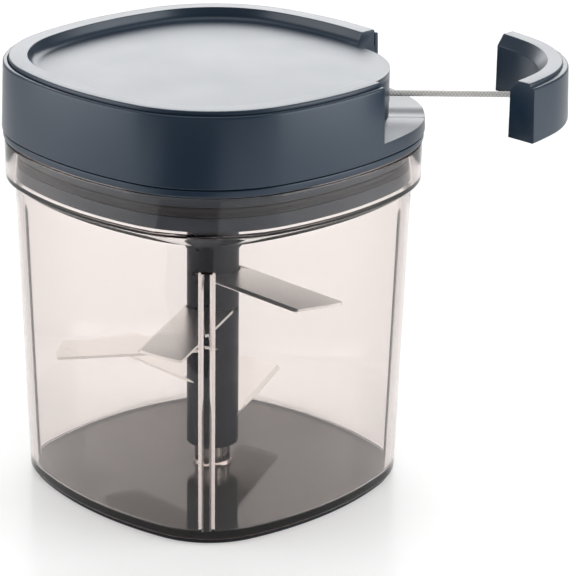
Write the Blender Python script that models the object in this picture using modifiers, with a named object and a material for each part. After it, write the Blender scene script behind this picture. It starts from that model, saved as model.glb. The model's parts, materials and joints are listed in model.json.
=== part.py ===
# Pull cord food chopper, as an assembly of separate pieces.
# Units are metres and +Z is up. The origin is the centre of the face it stands on.
# The cord is pulled along +X. The plan is a rounded square whose corners point along X and Y.

import math

import bmesh
import bpy
from mathutils import Matrix, Vector

# Plan outline: corner reach of the lid, and the arcs' radii as shares of the reach
LID_REACH = 0.0650
LID_SIDE_SHARE = 1.745
LID_CORNER_SHARE = 0.645
CUP_SIDE_SHARE = 1.834
CUP_CORNER_SHARE = 0.480
DISC_SIDE_SHARE = 1.9
DISC_CORNER_SHARE = 0.61
CORNER_COUNT = 4
CORNER_STEPS = 4
SIDE_STEPS = 5

# Fineness of round pieces
ROUND_STEPS = 28
SMALL_ROUND_STEPS = 24
SCREW_STEPS = 16
ROUTE_STEPS = 12
MERGE_DISTANCE = 0.00001
SHARP_ANGLE = math.radians(35.0)

# Clearances
GAP = 0.0003
RUN_GAP = 0.0004
SEAL_GAP = 0.00035
OVERRUN = 0.003

# Container. Its collar and wall step in from the lid's flange.
PAD_HEIGHT = 0.0012
PAD_INSET = 0.0014
COLLAR_SETBACK = 0.0004
LEDGE_STEP = 0.0030
CUP_TAPER = 0.0028
CUP_WALL = 0.0024
CUP_FLOOR = 0.0018
CUP_LEDGE_Z = 0.1008
COLLAR_HEIGHT = 0.0124
CUP_FOOT_RADIUS = 0.0010
CUP_FLOOR_RADIUS = 0.0018
SHOULDER_HEIGHT = 0.0030
SHOULDER_SHARES = (0.45, 0.62)
COLLAR_WALL = 0.0024
COLLAR_ROUND = 0.0005
RIM_EASE = 0.0004
BEND_SHARE = 0.3
RIB_WIDTH = 0.0051
RIB_DEPTH = 0.0019
RIB_DROP = 0.0116
RIB_ROUND = 0.0020
RIB_SHOULDER_SHARES = (0.7, 0.4)
PIN_RADIUS = 0.0030
PIN_RISE = 0.0175
PIN_BOSS_RADIUS = 0.0056
PIN_BOSS_HEIGHT = 0.0070
PIN_TIP = 0.0010

# Blade shaft
SHAFT_RADIUS = 0.00815
CORE_RADIUS = 0.0050
CORE_RISE = 0.0035
BLADE_COUNT = 5
BLADE_HEAD_DROP = 0.0230
BLADE_BOSS_RISE = 0.0096
BLADE_THICK = 0.0009
BLADE_WIDTH = 0.0158
BLADE_TIP_GAP = 0.0010
BLADE_SWEEP = 0.0045
BLADE_TIP_SHARES = (0.8, 0.4)
BLADE_HUB_RADIUS = 0.0079
BLADE_HUB_STEPS = 8
BLADE_TOP_BEARING = math.radians(312.5)
BLADE_TURN = math.radians(-60.0)
HEAD_HEIGHT = 0.0140
HEAD_FLOOR_GAP = 0.0014
HEX_RADIUS = 0.0048
HEX_DEPTH = 0.0075
HEX_SIDES = 6

# Lid base, the lower moulding
SKIRT_DROP = 0.0110
SKIRT_WALL = 0.0036
SKIRT_EASE = 0.0004
SEAL_GROOVE_RISE = 0.0044
SEAL_GROOVE_HEIGHT = 0.0032
SEAL_GROOVE_DEPTH = 0.0015
SEAL_LIP = 0.0003
FLANGE_OVERHANG = 0.0005
FLANGE_HEIGHT = 0.0024
FLANGE_EASE = 0.0004
FLANGE_WIDTH = 0.0046
LID_FLOOR_RISE = 0.0059
LID_FLOOR = 0.0024
HUB_HOLE_RADIUS = 0.0095
SKIRT_FILLET = 0.0010

# Lid housing, the outer wall with its cord corner. The wall gets a little wider downward.
LID_WALL = 0.0034
WALL_FLARE = 0.0008
HOUSING_HEIGHT = 0.0216
LIP_EASE = 0.0005
LIP_WIDTH = 0.0015
LIP_HEIGHT = 0.0042
SHELF_DROP = 0.0172
GRIP_DEPTH = 0.0106
DRUM_WALL = 0.0020
CUT_DEPTH = 0.0455
CUT_WALL = 0.0020
BOSS_RADIUS = 0.0040
BOSS_SKIRT_GAP = 0.0010
BOSS_WEB = 0.0022
BOSS_DROP = 0.0036
SCREW_RADIUS = 0.0015
SCREW_HEAD_RADIUS = 0.0029
SCREW_HEAD = 0.0016
SCREW_BITE = 0.0049
SCREW_COUNT = 4

# Top cover
COVER_RISE = 0.0012
COVER_EASE = 0.0006
DISC_DROP = 0.0036
DISC_INSET = 0.0004
RIM_SLOPE = 0.0034
AXLE_RADIUS = 0.0040

# Cord and its exit
CORD_RADIUS = 0.0010
CORD_RISE = 0.0063
EYELET_RADIUS = 0.0029
EYELET_BORE = 0.0020
EYELET_FLANGE = 0.0038
EYELET_LIP = 0.0006
CORD_RUN_STEP = 0.0040
CORD_BEVEL_STEPS = 2
WIND_BEVEL_STEPS = 1

# Reel, spring and clutch
REEL_RADIUS = 0.0181
REEL_WALL = 0.0019
REEL_FLANGE_RADIUS = 0.0250
REEL_SKIRT = 0.0034
REEL_COVER_GAP = 0.0006
REEL_FLANGE = 0.0014
REEL_WEB = 0.0016
REEL_HUB_RADIUS = 0.0085
REEL_HUB_HEIGHT = 0.0022
BUSH_RADIUS = 0.0056
WIND_PITCH = 0.0025
WIND_DROP = 0.0018
WIND_STEPS = 24
SPRING_THICK = 0.0005
SPRING_TOP_GAP = 0.0009
SPRING_TURNS = 5
SPRING_STEPS = 22
SPRING_COVER = 0.0010
WASHER_RADIUS = 0.0072
WASHER_THICK = 0.0008
RATCHET_SIDE_GAP = 0.0010
RATCHET_RIM = 0.0019
RATCHET_TOOTH = 0.0012
RATCHET_STEP = 0.0016
RATCHET_DEPTH = 0.0039
RATCHET_TOOTH_COUNT = 12
TOOTH_STEPS = 4
STAR_THICK = 0.0032
STAR_HUB = 0.0064
STAR_TIP_GAP = 0.0005
STAR_ARM_WIDTH = 0.0018
STAR_ARM_COUNT = 3
STAR_HUB_STEPS = 4
STAR_HUB_SHARE = 0.4
STAR_OUTER_SHARES = ((0.62, 0.93), (0.78, 1.0), (0.80, 0.9))
STAR_INNER_SHARES = ((0.66, 1.0), (0.54, 1.6))
JOURNAL_RADIUS = 0.0070
HUB_FLANGE_RADIUS = 0.0105
HUB_FLANGE = 0.0014
BUSHING_FLANGE = 0.0115
BUSHING_RISE = 0.0020
HUB_SCREW_HEAD = 0.0009
HUB_SCREW_LENGTH = 0.0090
SCREW_HEADS_GAP = 0.0006
REEL_SCREW_HEAD = 0.0013
REEL_SCREW_LENGTH = 0.0080

# Handle, shown with the cord drawn out by PULL_OUT
PULL_OUT = 0.0440
HANDLE_SIDE_GAP = 0.0004
HANDLE_DRUM_GAP = 0.0012
HANDLE_INNER_SLOPE = 0.0030
HANDLE_SLOPE_DROP = 0.0034
KNOT_RADIUS = 0.0026
KNOT_STEPS = 16
KNOT_RING_STEPS = 10
KNOT_POCKET_DEPTH = 0.0068
PLUG_RADIUS = 0.0039
PLUG_THICK = 0.0014
PLUG_BORE = 0.0013

# Derived sizes
FLANGE_REACH = LID_REACH + FLANGE_OVERHANG
COLLAR_REACH = FLANGE_REACH - COLLAR_SETBACK
CUP_TOP_REACH = COLLAR_REACH - LEDGE_STEP
CUP_BASE_REACH = CUP_TOP_REACH - CUP_TAPER
SKIRT_REACH = COLLAR_REACH - COLLAR_WALL - SEAL_GAP - SEAL_LIP
SKIRT_INNER_REACH = SKIRT_REACH - SKIRT_WALL
DRUM_REACH = LID_REACH - GRIP_DEPTH
CORD_MOUTH_X = DRUM_REACH - DRUM_WALL
DISC_REACH = DRUM_REACH - DISC_INSET
HANDLE_INNER_REACH = DRUM_REACH + HANDLE_DRUM_GAP
COVER_REACH = LID_REACH - LIP_WIDTH - GAP
RIM_REACH = DISC_REACH + RIM_SLOPE
CUT_APEX_X = LID_REACH - CUT_DEPTH
SLEEVE_BORE = CORE_RADIUS + GAP
WIND_RADIUS = REEL_RADIUS + CORD_RADIUS + RUN_GAP
POCKET_RADIUS = REEL_RADIUS - REEL_WALL
RATCHET_RADIUS = POCKET_RADIUS - RATCHET_SIDE_GAP
RATCHET_ROOT = RATCHET_RADIUS - RATCHET_RIM
RATCHET_TIP = RATCHET_ROOT - RATCHET_TOOTH
RATCHET_SHOULDER = RATCHET_TIP - RATCHET_STEP
STAR_REACH = RATCHET_TIP - STAR_TIP_GAP
HANDLE_FACE_X = HANDLE_INNER_REACH + PULL_OUT

# Derived heights, from the floor up to the lid's top
CUP_BOTTOM_Z = PAD_HEIGHT + GAP
CUP_FLOOR_TOP_Z = CUP_BOTTOM_Z + CUP_FLOOR
PIN_BOSS_TOP_Z = CUP_FLOOR_TOP_Z + PIN_BOSS_HEIGHT
PIN_TOP_Z = PIN_BOSS_TOP_Z + PIN_RISE
RIB_TOP_Z = CUP_LEDGE_Z - RIB_DROP
CUP_TOP_Z = CUP_LEDGE_Z + COLLAR_HEIGHT
SKIRT_BOTTOM_Z = CUP_TOP_Z - SKIRT_DROP
LEDGE_TOP_Z = SKIRT_BOTTOM_Z - GAP
SEAL_GROOVE_Z = SKIRT_BOTTOM_Z + SEAL_GROOVE_RISE
LID_FLOOR_Z = SKIRT_BOTTOM_Z + LID_FLOOR_RISE
LID_FLOOR_TOP_Z = LID_FLOOR_Z + LID_FLOOR
LID_BASE_TOP_Z = CUP_TOP_Z + GAP + FLANGE_HEIGHT
HOUSING_BOTTOM_Z = LID_BASE_TOP_Z + GAP
LID_TOP_Z = HOUSING_BOTTOM_Z + HOUSING_HEIGHT
COVER_SEAT_Z = LID_TOP_Z - LIP_HEIGHT
COVER_BOTTOM_Z = COVER_SEAT_Z + GAP
COVER_TOP_Z = LID_TOP_Z + COVER_RISE
SHELF_Z = LID_TOP_Z - SHELF_DROP
HANDLE_BOTTOM_Z = SHELF_Z + GAP
CORD_EXIT_Z = SHELF_Z + CORD_RISE
BOSS_TOP_Z = COVER_SEAT_Z - BOSS_DROP
SCREW_TOP_Z = HOUSING_BOTTOM_Z + SCREW_BITE

# Derived heights of the shaft, the clutch and the reel
HEAD_TOP_Z = LID_FLOOR_Z - HEAD_FLOOR_GAP
HEAD_Z = HEAD_TOP_Z - HEAD_HEIGHT
CORE_BOTTOM_Z = PIN_BOSS_TOP_Z + RUN_GAP
CORE_TOP_Z = HEAD_Z + CORE_RISE
BLADE_TOP_Z = HEAD_Z - BLADE_HEAD_DROP
BLADE_LOW_Z = PIN_BOSS_TOP_Z + BLADE_BOSS_RISE
BLADE_PITCH = (BLADE_TOP_Z - BLADE_LOW_Z) / (BLADE_COUNT - 1)
HUB_FLANGE_Z = LID_FLOOR_TOP_Z + GAP + BUSHING_RISE + GAP
HUB_TOP_Z = HUB_FLANGE_Z + HUB_FLANGE
STAR_Z = HUB_TOP_Z + GAP
STAR_TOP_Z = STAR_Z + STAR_THICK
HUB_SCREW_TOP_Z = STAR_TOP_Z + GAP + HUB_SCREW_HEAD
REEL_SCREW_Z = HUB_SCREW_TOP_Z + SCREW_HEADS_GAP
WASHER_Z = REEL_SCREW_Z + REEL_SCREW_HEAD + GAP
AXLE_BOTTOM_Z = WASHER_Z + WASHER_THICK + GAP
REEL_BOTTOM_Z = AXLE_BOTTOM_Z - REEL_SKIRT
REEL_TOP_Z = COVER_BOTTOM_Z - REEL_COVER_GAP - SPRING_COVER - GAP
WIND_TOP_Z = REEL_TOP_Z - REEL_FLANGE - WIND_DROP
WIND_LOW_Z = REEL_BOTTOM_Z + REEL_FLANGE + CORD_RADIUS + GAP
WIND_TURNS = (WIND_TOP_Z - WIND_LOW_Z) / WIND_PITCH

NAVY = (0.022, 0.038, 0.062, 1.0)
NAVY_DARK = (0.012, 0.018, 0.028, 1.0)
SMOKE = (0.62, 0.57, 0.54, 1.0)
STEEL = (0.72, 0.72, 0.71, 1.0)
BRASS = (0.62, 0.45, 0.18, 1.0)
WHITE_PLASTIC = (0.70, 0.70, 0.67, 1.0)
GREY_RUBBER = (0.05, 0.055, 0.06, 1.0)
SEAL_GREY = (0.10, 0.11, 0.12, 1.0)
CORD_WHITE = (0.68, 0.67, 0.62, 1.0)


def clear_scene():
    for old in list(bpy.data.objects):
        bpy.data.objects.remove(old, do_unlink=True)


def new_collection(name):
    made = bpy.data.collections.new(name)
    bpy.context.scene.collection.children.link(made)
    return made


def material(name, colour, roughness, metallic=0.0, alpha=1.0):
    made = bpy.data.materials.new(name)
    made.use_nodes = True
    shader = made.node_tree.nodes["Principled BSDF"]
    shader.inputs["Base Color"].default_value = colour
    shader.inputs["Roughness"].default_value = roughness
    shader.inputs["Metallic"].default_value = metallic
    shader.inputs["Alpha"].default_value = alpha
    return made


def finish(thing, look, smooth=True):
    """Put a piece in its collection with its material and shading."""
    PARTS.objects.link(thing)
    thing.data.materials.append(look)
    if smooth:
        thing.data.shade_smooth()
        thing.data.set_sharp_from_angle(angle=SHARP_ANGLE)
    return thing


def cutter(thing):
    CUTTERS.objects.link(thing)
    thing.hide_render = True
    thing.display_type = "WIRE"
    return thing


def cut(thing, tool, operation="DIFFERENCE"):
    step = thing.modifiers.new(tool.name, "BOOLEAN")
    step.operation = operation
    step.solver = "EXACT"
    step.object = tool
    return thing


def side_shift(reach, side_share, corner_share):
    """How far past the middle, on the diagonal, a side arc has its centre.

    There its distance to a corner arc's centre is the difference of the two radii,
    so that the arcs are tangent where they meet.
    """
    middle = reach - corner_share * reach
    spread = (side_share * reach - corner_share * reach) ** 2 - middle**2
    return (math.sqrt(2 * middle**2 + 4 * spread) - math.sqrt(2) * middle) / 2


def side_distance(reach, side_share, corner_share):
    """Distance from the axis to the middle of a side."""
    return side_share * reach - side_shift(reach, side_share, corner_share)


def outline(reach, side_share, corner_share):
    """Rounded square of four corner arcs on X and Y and four flatter side arcs."""
    corner = corner_share * reach
    side = side_share * reach
    middle = reach - corner
    shift = side_shift(reach, side_share, corner_share)
    centre = Vector((-shift, -shift)) / math.sqrt(2)
    turn = math.atan2(-centre.y, middle - centre.x)
    quarter = []
    for step in range(CORNER_STEPS):
        angle = turn * step / CORNER_STEPS
        quarter.append((middle + corner * math.cos(angle), corner * math.sin(angle)))
    for step in range(SIDE_STEPS):
        angle = turn + (math.pi / 2 - 2 * turn) * step / SIDE_STEPS
        quarter.append((centre.x + side * math.cos(angle), centre.y + side * math.sin(angle)))
    for step in range(CORNER_STEPS):
        angle = math.pi / 2 - turn + turn * step / CORNER_STEPS
        quarter.append((corner * math.cos(angle), middle + corner * math.sin(angle)))
    points = []
    for corner_number in range(CORNER_COUNT):
        spin = Matrix.Rotation(corner_number * 2 * math.pi / CORNER_COUNT, 2)
        points += [spin @ Vector(point) for point in quarter]
    return points


def lid_plan(reach):
    return outline(reach, LID_SIDE_SHARE, LID_CORNER_SHARE)


def cup_plan(reach):
    return outline(reach, CUP_SIDE_SHARE, CUP_CORNER_SHARE)


def disc_plan(reach):
    return outline(reach, DISC_SIDE_SHARE, DISC_CORNER_SHARE)


def circle_plan(radius, like):
    """A circle with a point on the bearing of each point of another outline."""
    return [Vector((point.x, point.y)).normalized() * radius for point in like]


def level(points, z):
    return [Vector((point[0], point[1], z)) for point in points]


def loft(name, rings, closed=False):
    """Skin through rings of equal count. A closed loft joins its last ring to its first."""
    mesh = bpy.data.meshes.new(name)
    shell = bmesh.new()
    rows = [[shell.verts.new(point) for point in ring] for ring in rings]
    pairs = list(zip(rows, rows[1:]))
    if closed:
        pairs.append((rows[-1], rows[0]))
    for low, high in pairs:
        for here in range(len(low)):
            after = (here + 1) % len(low)
            shell.faces.new((low[here], low[after], high[after], high[here]))
    if not closed:
        shell.faces.new(list(reversed(rows[0])))
        shell.faces.new(rows[-1])
    bmesh.ops.recalc_face_normals(shell, faces=shell.faces)
    shell.to_mesh(mesh)
    shell.free()
    return bpy.data.objects.new(name, mesh)


def prism(name, points, low, high):
    """A flat outline raised from one height to another."""
    mesh = bpy.data.meshes.new(name)
    block = bmesh.new()
    base = block.faces.new([block.verts.new((point[0], point[1], low)) for point in points])
    raised = bmesh.ops.extrude_face_region(block, geom=[base])
    tops = [item for item in raised["geom"] if isinstance(item, bmesh.types.BMVert)]
    bmesh.ops.translate(block, verts=tops, vec=(0, 0, high - low))
    bmesh.ops.recalc_face_normals(block, faces=block.faces)
    block.to_mesh(mesh)
    block.free()
    return bpy.data.objects.new(name, mesh)


def rod(name, radius, low, high, place=(0, 0), sides=ROUND_STEPS):
    """An upright cylinder between two heights."""
    mesh = bpy.data.meshes.new(name)
    body = bmesh.new()
    middle = Matrix.Translation((place[0], place[1], (low + high) / 2))
    bmesh.ops.create_cone(
        body,
        cap_ends=True,
        segments=sides,
        radius1=radius,
        radius2=radius,
        depth=high - low,
        matrix=middle,
    )
    body.to_mesh(mesh)
    body.free()
    return bpy.data.objects.new(name, mesh)


def rod_along_x(name, radius, start, end, height):
    """A level cylinder along X, on the cord's line."""
    made = rod(name, radius, start, end)
    made.data.transform(Matrix.Rotation(math.pi / 2, 4, "Y"))
    made.data.transform(Matrix.Translation((0, 0, height)))
    return made


def turned(name, profile, place=(0, 0), closed=False, steps=ROUND_STEPS):
    """A profile of (radius, height) turned about Z, down its outer side first."""
    mesh = bpy.data.meshes.new(name)
    line = bmesh.new()
    corners = [line.verts.new((radius, 0, height)) for radius, height in profile]
    for first, second in zip(corners, corners[1:]):
        line.edges.new((first, second))
    if closed:
        line.edges.new((corners[-1], corners[0]))
    line.to_mesh(mesh)
    line.free()
    made = bpy.data.objects.new(name, mesh)
    made.location = (place[0], place[1], 0)
    turn = made.modifiers.new("turn", "SCREW")
    turn.steps = steps
    turn.render_steps = steps
    turn.use_merge_vertices = True
    turn.merge_threshold = MERGE_DISTANCE
    return made


def ring(name, outer, inner, low, high, steps=ROUND_STEPS):
    """A plain turned ring."""
    profile = [(outer, high), (outer, low), (inner, low), (inner, high)]
    return turned(name, profile, closed=True, steps=steps)


def hexagon(radius):
    points = []
    for side in range(HEX_SIDES):
        angle = 2 * math.pi * side / HEX_SIDES
        points.append((radius * math.cos(angle), radius * math.sin(angle)))
    return points


def tube(name, points, radius, look, bevel_steps=CORD_BEVEL_STEPS):
    """A round tube along points, as one closed mesh."""
    curve = bpy.data.curves.new(name, "CURVE")
    curve.dimensions = "3D"
    curve.bevel_depth = radius
    curve.bevel_resolution = bevel_steps
    curve.use_fill_caps = True
    line = curve.splines.new("POLY")
    line.points.add(len(points) - 1)
    for knot, point in zip(line.points, points):
        knot.co = (*point, 1)
    made = bpy.data.objects.new(name, curve)
    PARTS.objects.link(made)
    curve.materials.append(look)
    weld = made.modifiers.new("weld caps", "WELD")
    weld.merge_threshold = MERGE_DISTANCE
    return made


def smooth_route(points, step):
    """Points at an even step along a Catmull-Rom curve through the given points."""
    ends = [2 * points[0] - points[1]] + points + [2 * points[-1] - points[-2]]
    fine = []
    for before, here, after, beyond in zip(ends, ends[1:], ends[2:], ends[3:]):
        for part in range(ROUTE_STEPS):
            t = part / ROUTE_STEPS
            slope = (after - before) * t
            bend = (2 * before - 5 * here + 4 * after - beyond) * t**2
            twist = (3 * here - before - 3 * after + beyond) * t**3
            fine.append(here + (slope + bend + twist) / 2)
    fine.append(points[-1])
    lengths = [0.0]
    for first, second in zip(fine, fine[1:]):
        lengths.append(lengths[-1] + (second - first).length)
    count = max(2, round(lengths[-1] / step))
    route = []
    place = 0
    for number in range(count + 1):
        wanted = lengths[-1] * number / count
        while place < len(fine) - 2 and lengths[place + 1] < wanted:
            place += 1
        share = (wanted - lengths[place]) / (lengths[place + 1] - lengths[place])
        route.append(fine[place].lerp(fine[place + 1], min(share, 1.0)))
    return route


def inside_wall(z):
    """Corner reach of the cup's inner face at a height."""
    return CUP_BASE_REACH - CUP_WALL + CUP_TAPER * z / CUP_LEDGE_Z


def make_container():
    """Tapered see-through cup with a collar for the lid, corner ribs and a pin boss."""
    rim = COLLAR_REACH
    inner = COLLAR_REACH - COLLAR_WALL
    foot_bend = CUP_FOOT_RADIUS * BEND_SHARE
    collar_bend = COLLAR_ROUND * BEND_SHARE
    floor_bend = CUP_FLOOR_RADIUS * BEND_SHARE
    floor_reach = inside_wall(CUP_FLOOR_RADIUS)
    shoulder_z = CUP_LEDGE_Z - SHOULDER_HEIGHT
    out_share, up_share = SHOULDER_SHARES
    outer_wall = [
        (CUP_BASE_REACH - CUP_FOOT_RADIUS, CUP_BOTTOM_Z),
        (CUP_BASE_REACH - foot_bend, CUP_BOTTOM_Z + foot_bend),
        (CUP_BASE_REACH, CUP_BOTTOM_Z + CUP_FOOT_RADIUS),
        (CUP_TOP_REACH, shoulder_z),
        (CUP_TOP_REACH + LEDGE_STEP * out_share, shoulder_z + SHOULDER_HEIGHT * up_share),
    ]
    collar = [
        (rim - COLLAR_ROUND, CUP_LEDGE_Z + collar_bend),
        (rim - collar_bend, CUP_LEDGE_Z + COLLAR_ROUND),
        (rim, CUP_LEDGE_Z + 2 * COLLAR_ROUND),
        (rim, CUP_TOP_Z - RIM_EASE),
        (rim - RIM_EASE, CUP_TOP_Z),
        (inner, CUP_TOP_Z),
        (inner, LEDGE_TOP_Z),
    ]
    inner_wall = [
        (inside_wall(shoulder_z), shoulder_z),
        (floor_reach, CUP_FLOOR_TOP_Z + CUP_FLOOR_RADIUS),
        (floor_reach - floor_bend, CUP_FLOOR_TOP_Z + floor_bend),
        (floor_reach - CUP_FLOOR_RADIUS, CUP_FLOOR_TOP_Z),
    ]
    rings = [level(cup_plan(reach), z) for reach, z in outer_wall]
    rings += [level(lid_plan(reach), z) for reach, z in collar]
    rings += [level(cup_plan(reach), z) for reach, z in inner_wall]
    cup = loft("container", rings)
    boss = rod(
        "pin_boss",
        PIN_BOSS_RADIUS,
        CUP_FLOOR_TOP_Z - CUP_FLOOR / 2,
        PIN_BOSS_TOP_Z,
    )
    cut(cup, cutter(boss), "UNION")
    for number in range(CORNER_COUNT):
        cut(cup, cutter(make_rib(number)), "UNION")
    hole = rod(
        "pin_hole",
        PIN_RADIUS + GAP,
        CUP_FLOOR_TOP_Z,
        PIN_BOSS_TOP_Z + OVERRUN,
    )
    cut(cup, cutter(hole))
    finish(cup, LOOKS["container"])

    pad_rings = [
        level(cup_plan(CUP_BASE_REACH - PAD_INSET - GAP), 0),
        level(cup_plan(CUP_BASE_REACH - PAD_INSET), GAP),
        level(cup_plan(CUP_BASE_REACH - PAD_INSET), PAD_HEIGHT),
    ]
    finish(loft("base_pad", pad_rings), LOOKS["base_pad"])

    pin_profile = [
        (0, PIN_TOP_Z),
        (PIN_RADIUS - PIN_TIP, PIN_TOP_Z),
        (PIN_RADIUS, PIN_TOP_Z - PIN_TIP),
        (PIN_RADIUS, CUP_FLOOR_TOP_Z + GAP),
        (0, CUP_FLOOR_TOP_Z + GAP),
    ]
    finish(turned("pivot_pin", pin_profile, steps=SMALL_ROUND_STEPS), LOOKS["steel"])


def make_rib(number):
    """One upright rib inside a corner. It follows the wall and has a round top."""
    bottom = CUP_FLOOR_TOP_Z - CUP_FLOOR / 2
    foot = inside_wall(bottom)
    top = inside_wall(RIB_TOP_Z)
    sunk = CUP_WALL / 2
    out_share, down_share = RIB_SHOULDER_SHARES
    side = [
        (foot + sunk, bottom),
        (top + sunk, RIB_TOP_Z),
        (top, RIB_TOP_Z),
        (top - RIB_DEPTH * out_share, RIB_TOP_Z - RIB_ROUND * down_share),
        (top - RIB_DEPTH, RIB_TOP_Z - RIB_ROUND),
        (foot - RIB_DEPTH, bottom),
    ]
    rib = prism("rib_%d" % (number + 1), side, -RIB_WIDTH / 2, RIB_WIDTH / 2)
    rib.data.transform(Matrix.Rotation(math.pi / 2, 4, "X"))
    rib.data.transform(Matrix.Rotation(number * 2 * math.pi / CORNER_COUNT, 4, "Z"))
    return rib


def blade_height(number):
    """Middle height of a blade, counted from the top one down."""
    return BLADE_TOP_Z - number * BLADE_PITCH


def blade_length():
    """From the axis to the far corner's foot, so that the lowest blade clears the wall."""
    wall = inside_wall(blade_height(BLADE_COUNT - 1))
    room = side_distance(wall, CUP_SIDE_SHARE, CUP_CORNER_SHARE) - BLADE_TIP_GAP
    return math.sqrt(room**2 - (BLADE_WIDTH / 2) ** 2)


def blade_plan():
    """A blade seen from above, along +X: a hub end, a straight strip and a swept tip."""
    half = BLADE_WIDTH / 2
    tip = blade_length()
    heel = tip - BLADE_SWEEP
    along_share, across_share = BLADE_TIP_SHARES
    points = []
    for step in range(BLADE_HUB_STEPS + 1):
        angle = math.pi / 2 + math.pi * step / BLADE_HUB_STEPS
        points.append((BLADE_HUB_RADIUS * math.cos(angle), half * math.sin(angle)))
    points.append((heel, -half))
    points.append((heel + BLADE_SWEEP * along_share, half * across_share))
    points.append((tip, half))
    return points


def make_blades():
    """Steel blades in a falling spiral, clamped between sleeves on a core."""
    core_profile = [
        (0, CORE_TOP_Z),
        (CORE_RADIUS, CORE_TOP_Z),
        (CORE_RADIUS, CORE_BOTTOM_Z),
        (PIN_RADIUS + RUN_GAP, CORE_BOTTOM_Z),
        (PIN_RADIUS + RUN_GAP, PIN_TOP_Z + GAP),
        (0, PIN_TOP_Z + GAP),
    ]
    finish(turned("shaft_core", core_profile, steps=SMALL_ROUND_STEPS), LOOKS["shaft"])

    reach = BLADE_THICK / 2 + GAP
    edges = [CORE_BOTTOM_Z]
    for number in reversed(range(BLADE_COUNT)):
        edges += [blade_height(number) - reach, blade_height(number) + reach]
    edges.append(HEAD_Z - GAP)
    for number in range(BLADE_COUNT + 1):
        low, high = edges[2 * number], edges[2 * number + 1]
        name = "shaft_sleeve_%d" % (number + 1)
        finish(ring(name, SHAFT_RADIUS, SLEEVE_BORE, low, high), LOOKS["shaft"])

    for number in range(BLADE_COUNT):
        z = blade_height(BLADE_COUNT - 1 - number)
        blade = prism("blade_%d" % (number + 1), blade_plan(), -BLADE_THICK / 2, BLADE_THICK / 2)
        turn = BLADE_TOP_BEARING + (BLADE_COUNT - 1 - number) * BLADE_TURN
        blade.data.transform(Matrix.Rotation(turn, 4, "Z"))
        blade.data.transform(Matrix.Translation((0, 0, z)))
        bore = cutter(rod("blade_bore_%d" % (number + 1), SLEEVE_BORE, z - OVERRUN, z + OVERRUN))
        cut(blade, bore)
        finish(blade, LOOKS["steel"], smooth=False)

    head = rod("drive_head", SHAFT_RADIUS, HEAD_Z, HEAD_TOP_Z)
    socket = prism("head_socket", hexagon(HEX_RADIUS + RUN_GAP), HEAD_TOP_Z - HEX_DEPTH, HEAD_TOP_Z + OVERRUN)
    seat = rod("head_seat", SLEEVE_BORE, HEAD_Z - OVERRUN, CORE_TOP_Z + GAP, sides=SMALL_ROUND_STEPS)
    cut(head, cutter(socket))
    cut(head, cutter(seat))
    finish(head, LOOKS["shaft"])


def make_lid_base():
    """Lower lid moulding: flange, skirt with a seal groove, and the mechanism's floor."""
    groove_top = SEAL_GROOVE_Z + SEAL_GROOVE_HEIGHT
    flange_z = CUP_TOP_Z + GAP
    profile = [
        (SKIRT_INNER_REACH, SKIRT_BOTTOM_Z),
        (SKIRT_REACH - SKIRT_EASE, SKIRT_BOTTOM_Z),
        (SKIRT_REACH, SKIRT_BOTTOM_Z + SKIRT_EASE),
        (SKIRT_REACH, SEAL_GROOVE_Z),
        (SKIRT_REACH - SEAL_GROOVE_DEPTH, SEAL_GROOVE_Z),
        (SKIRT_REACH - SEAL_GROOVE_DEPTH, groove_top),
        (SKIRT_REACH, groove_top),
        (SKIRT_REACH, flange_z),
        (FLANGE_REACH - FLANGE_EASE, flange_z),
        (FLANGE_REACH, flange_z + FLANGE_EASE),
        (FLANGE_REACH, LID_BASE_TOP_Z - FLANGE_EASE),
        (FLANGE_REACH - FLANGE_EASE, LID_BASE_TOP_Z),
        (FLANGE_REACH - FLANGE_WIDTH, LID_BASE_TOP_Z),
        (SKIRT_INNER_REACH, LID_FLOOR_TOP_Z),
    ]
    rings = [level(lid_plan(reach), z) for reach, z in profile]
    bore = circle_plan(HUB_HOLE_RADIUS, lid_plan(LID_REACH))
    rings.append(level(bore, LID_FLOOR_TOP_Z))
    rings.append(level(bore, LID_FLOOR_Z))
    rings.append(level(lid_plan(SKIRT_INNER_REACH - SKIRT_FILLET), LID_FLOOR_Z))
    base = loft("lid_base", rings, closed=True)
    for number, place in enumerate(screw_places()):
        hole = rod(
            "floor_hole_%d" % (number + 1),
            SCREW_RADIUS + RUN_GAP,
            LID_FLOOR_Z - OVERRUN,
            LID_FLOOR_TOP_Z + OVERRUN,
            place,
            SCREW_STEPS,
        )
        cut(base, cutter(hole))
    finish(base, LOOKS["lid"])

    seal_outer = SKIRT_REACH + SEAL_LIP
    seal_inner = SKIRT_REACH - SEAL_GROOVE_DEPTH + GAP
    low = SEAL_GROOVE_Z + GAP
    high = groove_top - GAP
    middle = (low + high) / 2
    seal_profile = [
        (seal_inner, low),
        (seal_outer - SEAL_LIP, low),
        (seal_outer, low + (middle - low) / 2),
        (seal_outer - SEAL_LIP, middle),
        (seal_outer, high - (middle - low) / 2),
        (seal_outer - SEAL_LIP, high),
        (seal_inner, high),
    ]
    seal_rings = [level(lid_plan(reach), z) for reach, z in seal_profile]
    finish(loft("seal_ring", seal_rings, closed=True), LOOKS["seal"])

    bushing_profile = [
        (BUSHING_FLANGE, HUB_FLANGE_Z - GAP),
        (BUSHING_FLANGE, LID_FLOOR_TOP_Z + GAP),
        (HUB_HOLE_RADIUS - GAP, LID_FLOOR_TOP_Z + GAP),
        (HUB_HOLE_RADIUS - GAP, LID_FLOOR_Z - GAP),
        (JOURNAL_RADIUS + GAP, LID_FLOOR_Z - GAP),
        (JOURNAL_RADIUS + GAP, HUB_FLANGE_Z - GAP),
    ]
    finish(turned("hub_bushing", bushing_profile, closed=True), LOOKS["white"])


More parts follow.
